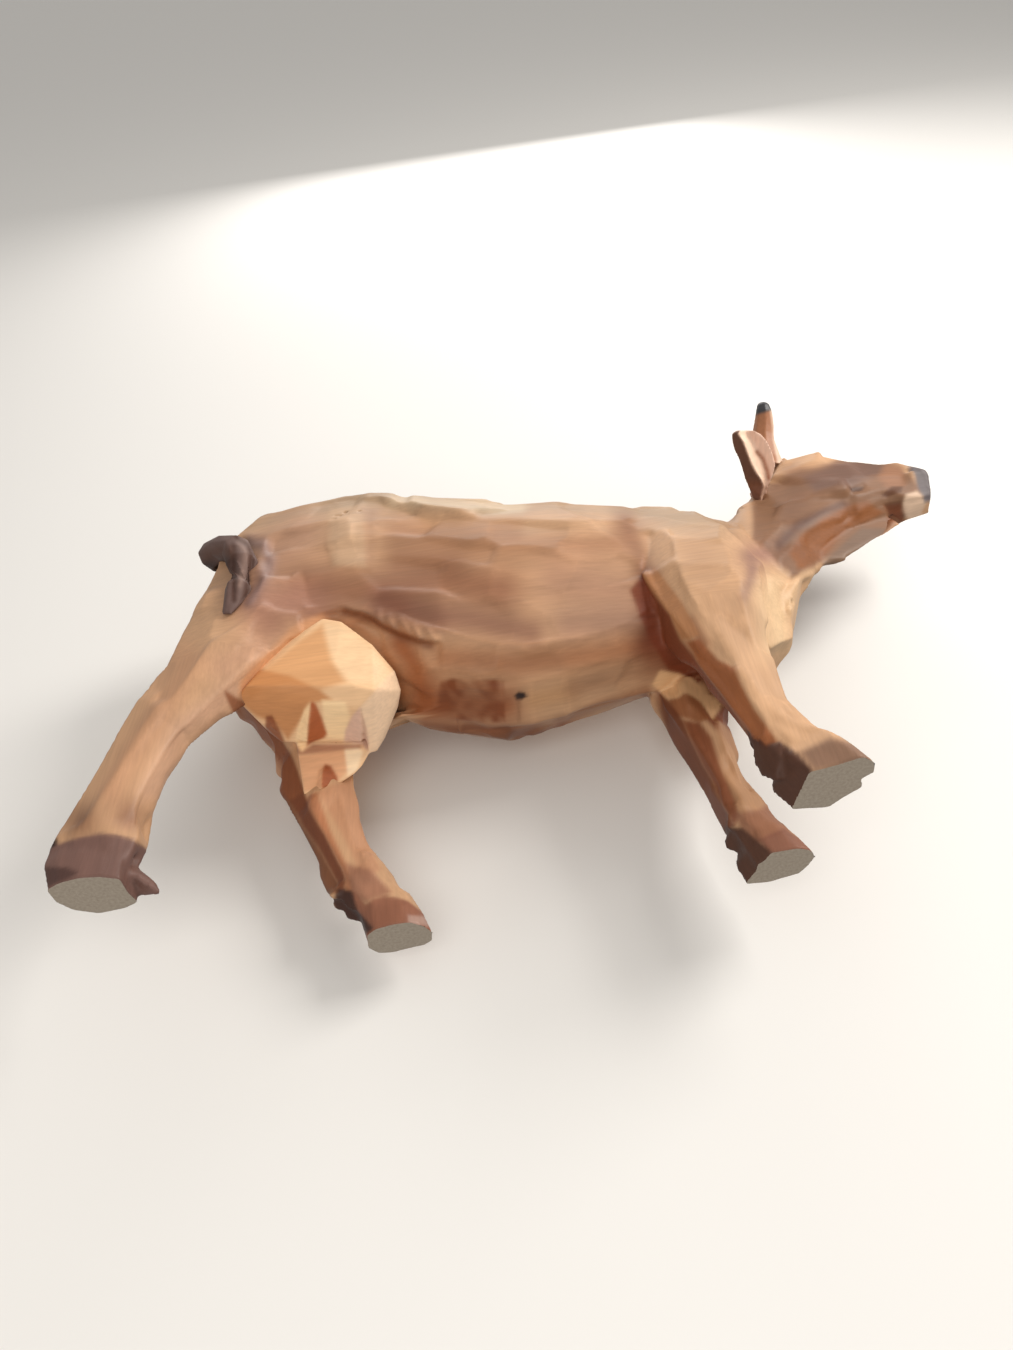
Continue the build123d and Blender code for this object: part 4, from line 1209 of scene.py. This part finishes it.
def small_piece(name, node, parts, rounds, paint, material, on_left=False, shape=None):
    """A piece skinned from its parts, smoothed, painted by its place in the picture, and carved."""
    points, squares = solid_of(parts, small_step)
    pairs = neighbours(squares)
    points = round_over(points, pairs, rounds)
    facing = outward(points, squares)
    places, _ = in_picture(mirrored(points) if on_left else points)
    if shape is not None:
        toward = np.array(eye) - points
        toward /= np.linalg.norm(toward, axis=1)[:, None]
        faces_eye = np.clip(np.sum(facing * toward, axis=1) * 4, 0, 1)
        points = points + toward * (spread(shape(places) * faces_eye, pairs, 1) / 1000)[:, None]
    colours = spread(paint(places, facing), pairs, 1)
    piece = new_piece(name, points, squares.tolist(), colours, [material], np.zeros(len(squares), int))
    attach(piece, "root")
    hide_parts(node)


def horn_paint(places, facing):
    """Brown, with a painted highlight along the right edge, and dark above a slanting line at the tip."""
    x, y = places.T
    colours = np.tile(tone(158, 106, 74), (len(places), 1))
    # A painted highlight along the right edge of the horn.
    highlight_edge = np.interp(y, [402, 411, 425, 440, 460], [768, 770, 772, 773, 777])
    colours = cover_with(colours, soft_edge(x - highlight_edge, 3), (214, 184, 160))
    tip_line = 415 - 0.3 * (x - 756)
    return cover_with(colours, soft_edge(tip_line - y, 4), (58, 58, 62))


def tube(rings, side):
    """A closed skin over rings of points that match one to one, on the right or the left side."""
    if side > 0:
        rings = [[Vector(place) for place in mirrored(ring)] for ring in rings]
    count = len(rings[0])
    points = [tuple(p) for ring in rings for p in ring]
    points += [tuple(sum(ring, Vector()) / count) for ring in (rings[0], rings[-1])]
    return np.array(points), ring_faces(len(rings), count)


# The horn: its level in the picture, its left and right edge there, and its distance across, in
# millimetres
horn_picture_rows = [
    (402.5, 759, 766, -15.8), (405, 757, 769.5, -15.4), (411, 756, 772, -14.2),
    (418, 755, 773.5, -12.5), (426, 753.5, 774.3, -10.7), (434, 752.5, 774.2, -9.1),
    (441, 752, 775, -7.8), (449, 752, 778, -6.5), (457, 752, 781, -5.2), (466, 753, 786, -4.0),
]


def horn_rings():
    """Rings of a horn, flattened into seven knife facets."""
    facets, first_turn, broad, narrow = 7, 0.2, 1.04, 0.96
    turns = [math.tau * (k + first_turn) / facets for k in range(facets)]
    rings = []
    for level, left, right, across in horn_picture_rows:
        heart = seen_at((left + right) / 2, level, across / 1000)
        half = (seen_at(right, level, across / 1000) - heart).length
        rings.append([
            heart + picture_right * (half * broad * math.cos(a)) + sight * (half * narrow * math.sin(a))
            for a in turns
        ])
    return rings


# The ear: its level in the picture, its outer edge, ridge, groove and inner edge there, and its
# thickness as a share. Depths in millimetres go round a ring: these four, and three on its back.
ear_picture_rows = [
    (430.5, 736, 740, 746, 754, 0.5), (434, 731.5, 738, 747, 761, 0.8), (441, 732, 743, 752, 767, 1.0),
    (449, 734, 746, 756, 771, 1.0), (457, 738, 749, 760, 774, 1.0), (465, 741, 752, 764, 775.5, 1.0),
    (472, 743, 756, 766, 774, 1.0), (479, 745, 761, 766.5, 771.5, 1.0),
    (486, 748, 764, 766.5, 768.5, 1.0), (496, 752, 761, 764, 767, 1.0), (503, 755, 761, 764, 767, 1.0),
]
ear_depths = (1.6, -1.3, 1.3, 0.0, 1.2, 3.0, 2.6)
ear_root, ear_facing = Vector((0.0608, -0.00644, 0.1134)), Vector((0, 0.4327, 0.9015))


def ear_rings():
    """Rings of an ear, set on its slanting plane and pushed off it by the depths."""
    rings = []
    for level, *across, thick in ear_picture_rows:
        back = [across[3] - 1, (across[0] + across[3]) / 2, across[0] + 1]
        ring = []
        for x, depth in zip(across + back, ear_depths):
            line = sight_line(x, level)
            reach = ((ear_root - eye).dot(ear_facing) + depth * thick / 1000) / line.dot(ear_facing)
            ring.append(eye + line * reach)
        rings.append(ring)
    return rings


def ear_paint(places, facing):
    """Pale inside, with painted shade in the groove, dark outside of the ridge, and brown behind and at the
    root.
    """
    x, y = places.T
    levels = [row[0] for row in ear_picture_rows]
    ridge_at, groove_at = (np.interp(y, levels, [row[k] for row in ear_picture_rows]) for k in (2, 3))
    colours = np.tile(tone(246, 212, 186), (len(places), 1))
    colours = cover_with(colours, 0.6 * soft_edge(x - groove_at, 6), (206, 164, 146))
    # Painted shade in the groove.
    groove = close_to(places, [(757, 452), (763, 459), (767, 471), (768.5, 478)], 2.2)
    colours = cover_with(colours, 0.85 * groove, (140, 74, 34))
    colours = cover_with(colours, soft_edge(ridge_at - x, 2.5), (96, 64, 50))
    behind = np.clip(facing[:, 2] * 2 + facing[:, 0] * -0.5, 0, 1)
    colours = cover_with(colours, behind, (160, 104, 70))
    root_level = 482
    return cover_with(colours, 0.6 * soft_edge(y - root_level, 12), (120, 72, 48))


tail_groove = [(236, 538), (248, 545), (252, 556), (251, 568), (248, 586), (243, 612)]
tuft_groove = [(233, 548), (234, 565), (233, 600)]


def tail_paint(places, facing):
    """Dark, paler on the strands, with painted shade in the grooves between them and a painted shadow under
    the arch of the tail.
    """
    colours = np.tile(tone(98, 76, 70), (len(places), 1))
    for line, width, colour, strength in (
        ([(250, 541), (265, 546), (268, 560), (258, 584), (249, 600)], 7, (141, 119, 110), 0.8),
        ([(240, 542), (246, 552), (244, 568), (240, 585)], 3.5, (136, 110, 99), 0.8),
        # Painted shade in the two grooves.
        (tail_groove, 3, (75, 46, 34), 0.85),
        (tuft_groove, 3, (72, 44, 33), 0.8),
        # Painted shadow under the arch, between the tail and the rump.
        ([(208, 565), (222, 572), (228, 560)], 9, (51, 28, 20), 0.9),
        ([(206, 556), (220, 550), (230, 552)], 6, (81, 51, 38), 0.8),
    ):
        colours = cover_with(colours, strength * close_to(places, line, width), colour)
    return colours


def tail_shape(places):
    """The two grooves, cut in by about a millimetre."""
    return -1.1 * close_to(places, tail_groove, 3) - 0.9 * close_to(places, tuft_groove, 3)


horn_wood = wood_with_stain_and_painted_light("painted_horn_wood_and_highlight", "Z", 0.40)
ear_wood = wood_with_stain_and_painted_light("stained_ear_wood_and_groove_shade", "Y", 0.45)
tail_wood = wood_with_stain_and_painted_light("stained_tail_wood_and_painted_shade", "Z", 0.62)
for side, name in ((-1, "right"), (1, "left")):
    small_piece(f"{name}_horn_wood", f"{name}_horn", [tube(horn_rings(), side)], 3, horn_paint,
                horn_wood, side > 0)
    small_piece(f"{name}_ear_wood", f"{name}_ear", [tube(ear_rings(), side)], 2, ear_paint,
                ear_wood, side > 0)
small_piece("tail_wood", "tail", [node_triangles("tail")], 10, tail_paint, tail_wood,
            shape=tail_shape)

# The udder. It is whittled from its own block, glued flat under the belly, with a bag of a few broad
# cuts, a lower tier that meets the left leg, and four short pointed teats. Places are given in the
# picture, with their distance across in millimetres.
bag_places = [
    (288, 641, -15.4), (268, 659, -14.6), (246, 686, -14.6), (236, 699, -11.5), (323, 618, -17.5),
    (341, 621, -17.5), (372, 644, -14.5), (395, 671, -9.5), (401, 690, -5.5), (334, 664, -15),
    (354, 686, -12.5), (374, 690, -11), (358, 707, -8), (306, 686, -12.5), (283, 687, -11),
    (259, 677, -11), (243, 689, -7.5), (243, 700, -5), (254, 715, -2.5), (270, 733, 1), (282, 742, 2.5),
    (314, 742, 4), (361, 742, 4.2), (398, 700, 6), (365, 742, 10), (300, 742, 12), (272, 733, 9),
    (246, 698, 5),
]
front_places = [
    (395, 671, -9.5), (401, 690, -5.5), (398, 707, -1), (389, 721, 2), (385, 738, 5), (377, 751, 6.5),
    (369, 753, 6.5), (374, 690, -11), (358, 707, -8), (398, 700, 6), (384, 738, 10), (374, 751, 11),
    (372, 700, 2),
]
tier_places = [
    (296, 738, 5), (374, 738, 5), (372, 748, 6), (362, 766, 8.5), (354, 774, 9.5), (339, 783, 11),
    (329, 790.5, 12), (304, 794, 12), (302, 775, 9.5), (372, 748, 13), (354, 774, 17), (306, 794, 19),
    (296, 744, 14),
]
bag_tops = [
    (-0.056, 0.013, 0.067), (-0.070, 0.011, 0.063), (-0.046, 0.009, 0.063), (-0.056, -0.013, 0.070),
    (-0.072, -0.009, 0.066),
]


teat_sink, udder_middle = 0.4, 0.0045


def teat(block, outline, ridge, height):
    """A pointed wedge: its outline sinks a little into the block, its ridge stands out of it."""
    skin = BVHTree.FromPolygons(block[0].tolist(), block[1].tolist())
    lifts = [(*place, -teat_sink) for place in outline] + [(x, y, height * share) for x, y, share in ridge]
    points = []
    for across, down, lift in lifts:
        aim = seen_at(across, down, 0) - eye
        hit = skin.ray_cast(eye, aim.normalized())[0]
        if hit is None:
            hit = skin.find_nearest(seen_at(across, down, udder_middle))[0]
        points.append(hit - aim.normalized() * (lift / 1000))
    return hull_of(points)


bag_block = hull_of(placed(bag_places, bag_tops))
front_block, tier_block = hull_of(placed(front_places)), hull_of(placed(tier_places))
teats = [
    teat(bag_block, [(311, 701), (304.5, 709), (300.6, 724), (294.5, 739), (302, 750), (313, 743),
     (326.6, 737), (322, 718), (316.6, 704.5)], [(308, 724, 0.6), (306.5, 747, 1)], 3.4),
    teat(bag_block, [(360, 706), (352, 715.5), (345.6, 731), (344.4, 741), (362, 743), (368, 748),
     (369, 741), (366.7, 729), (362, 711)], [(361, 722, 0.6), (363, 743, 1)], 2.4),
    teat(bag_block, [(270, 717), (266, 727), (272, 740), (282, 742), (284, 738), (278, 727)],
     [(272, 727, 0.6), (277, 741, 1)], 1.8),
    teat(tier_block, [(325.5, 764), (318, 771), (316.5, 783), (315.5, 790), (320, 791.5), (329, 789.5),
     (338.4, 782), (336.7, 775.5), (331, 765.5)], [(322, 771, 0.6), (320.5, 789, 1)], 2.8),
]
udder_patches = [
    ([(322, 617), (345, 620), (360, 630), (375, 645), (388, 657), (397, 672), (404, 690), (404, 712),
     (392, 725), (384, 742), (370, 756), (358, 772), (350, 790), (305, 795), (293, 755), (282, 741),
     (268, 722), (256, 712), (240, 700), (262, 680), (290, 645), (305, 628)], (232, 190, 146), 1, 8),
    # Painted highlight on the lit upper facet of the bag.
    ([(325, 624), (345, 626), (372, 650), (390, 672), (378, 684), (350, 682), (334, 662), (328, 640)],
     (235, 197, 155), 0.9, 6),
    ([(300, 640), (322, 625), (331, 660), (345, 682), (320, 690), (290, 682), (262, 690), (250, 700),
     (245, 690), (270, 665)], (212, 156, 106), 0.9, 8),
    ([(236, 700), (240, 682), (256, 668), (290, 676), (320, 690), (332, 700), (312, 703), (300, 722),
     (288, 740), (275, 724), (256, 716)], (194, 130, 78), 0.9, 6),
    # Painted shade over the small left teat.
    ([(266, 716), (272, 715), (279, 728), (285, 741), (279, 746), (270, 738), (265, 727)],
     (132, 68, 36), 0.9, 3),
    # Painted highlight on the lit facet beside the big teat.
    ([(322, 700), (345, 702), (350, 715), (345, 740), (328, 738), (324, 720)], (250, 216, 168), 0.9, 5),
    ([(380, 684), (397, 668), (403, 690), (402, 710), (392, 722), (384, 742), (378, 750), (368, 756),
     (366, 730), (360, 708), (374, 692)], (240, 206, 172), 0.9, 5),
    ([(297, 756), (345, 748), (348, 770), (338, 781), (315, 790), (304, 792)], (224, 168, 126), 0.9, 5),
    ([(344, 746), (356, 744), (363, 752), (357, 770), (348, 776)], (250, 222, 184), 0.9, 4),
    # Painted shade under the lower edge of the bag, above the lower tier.
    ([(282, 742), (293, 743), (302, 752), (313, 744), (361, 744), (361, 748), (300, 755), (284, 750)],
     (165, 112, 84), 0.85, 4),
    # Painted highlight on the lit left face of the big teat.
    ([(311, 701), (304, 710), (298, 728), (295, 740), (302, 751), (307, 745), (308, 724)],
     (250, 212, 162), 0.9, 3),
    # Painted shade on the right face of the big teat.
    ([(311, 701), (316, 704), (322, 718), (327, 734), (324, 738), (313, 742), (307, 746), (308, 724)],
     (168, 78, 28), 0.9, 3),
    # Painted shade on the right face of the teat on the lower tier.
    ([(325, 764), (331, 766), (337, 776), (338, 781), (328, 789), (321, 788), (322, 772)],
     (150, 72, 32), 0.9, 3),
    # Painted highlight on the left face of the teat nearer the front.
    ([(360, 707), (352, 716), (345, 731), (344, 742), (362, 744), (363, 730)], (214, 176, 156), 0.9, 3),
    # Painted shade on the right face of that teat.
    ([(361, 708), (366, 728), (369, 744), (367, 751), (362, 744), (363, 730)], (190, 150, 130), 0.9, 2),
]


def udder_paint(places, facing):
    """Pale wood with a tone of its own on some cuts, painted highlights on the lit faces of the bag and the
    teats, and painted shade on the shaded sides of the teats and under the bag's lower edge.
    """
    colours = np.tile(tone(228, 184, 140), (len(places), 1))
    for corners, colour, strength, soft in udder_patches:
        colours = cover_with(colours, strength * soft_edge(within(places, corners), soft), colour)
    return colours


small_piece("udder_wood", "udder", [bag_block, front_block, tier_block] + teats, 2, udder_paint, trunk_wood)
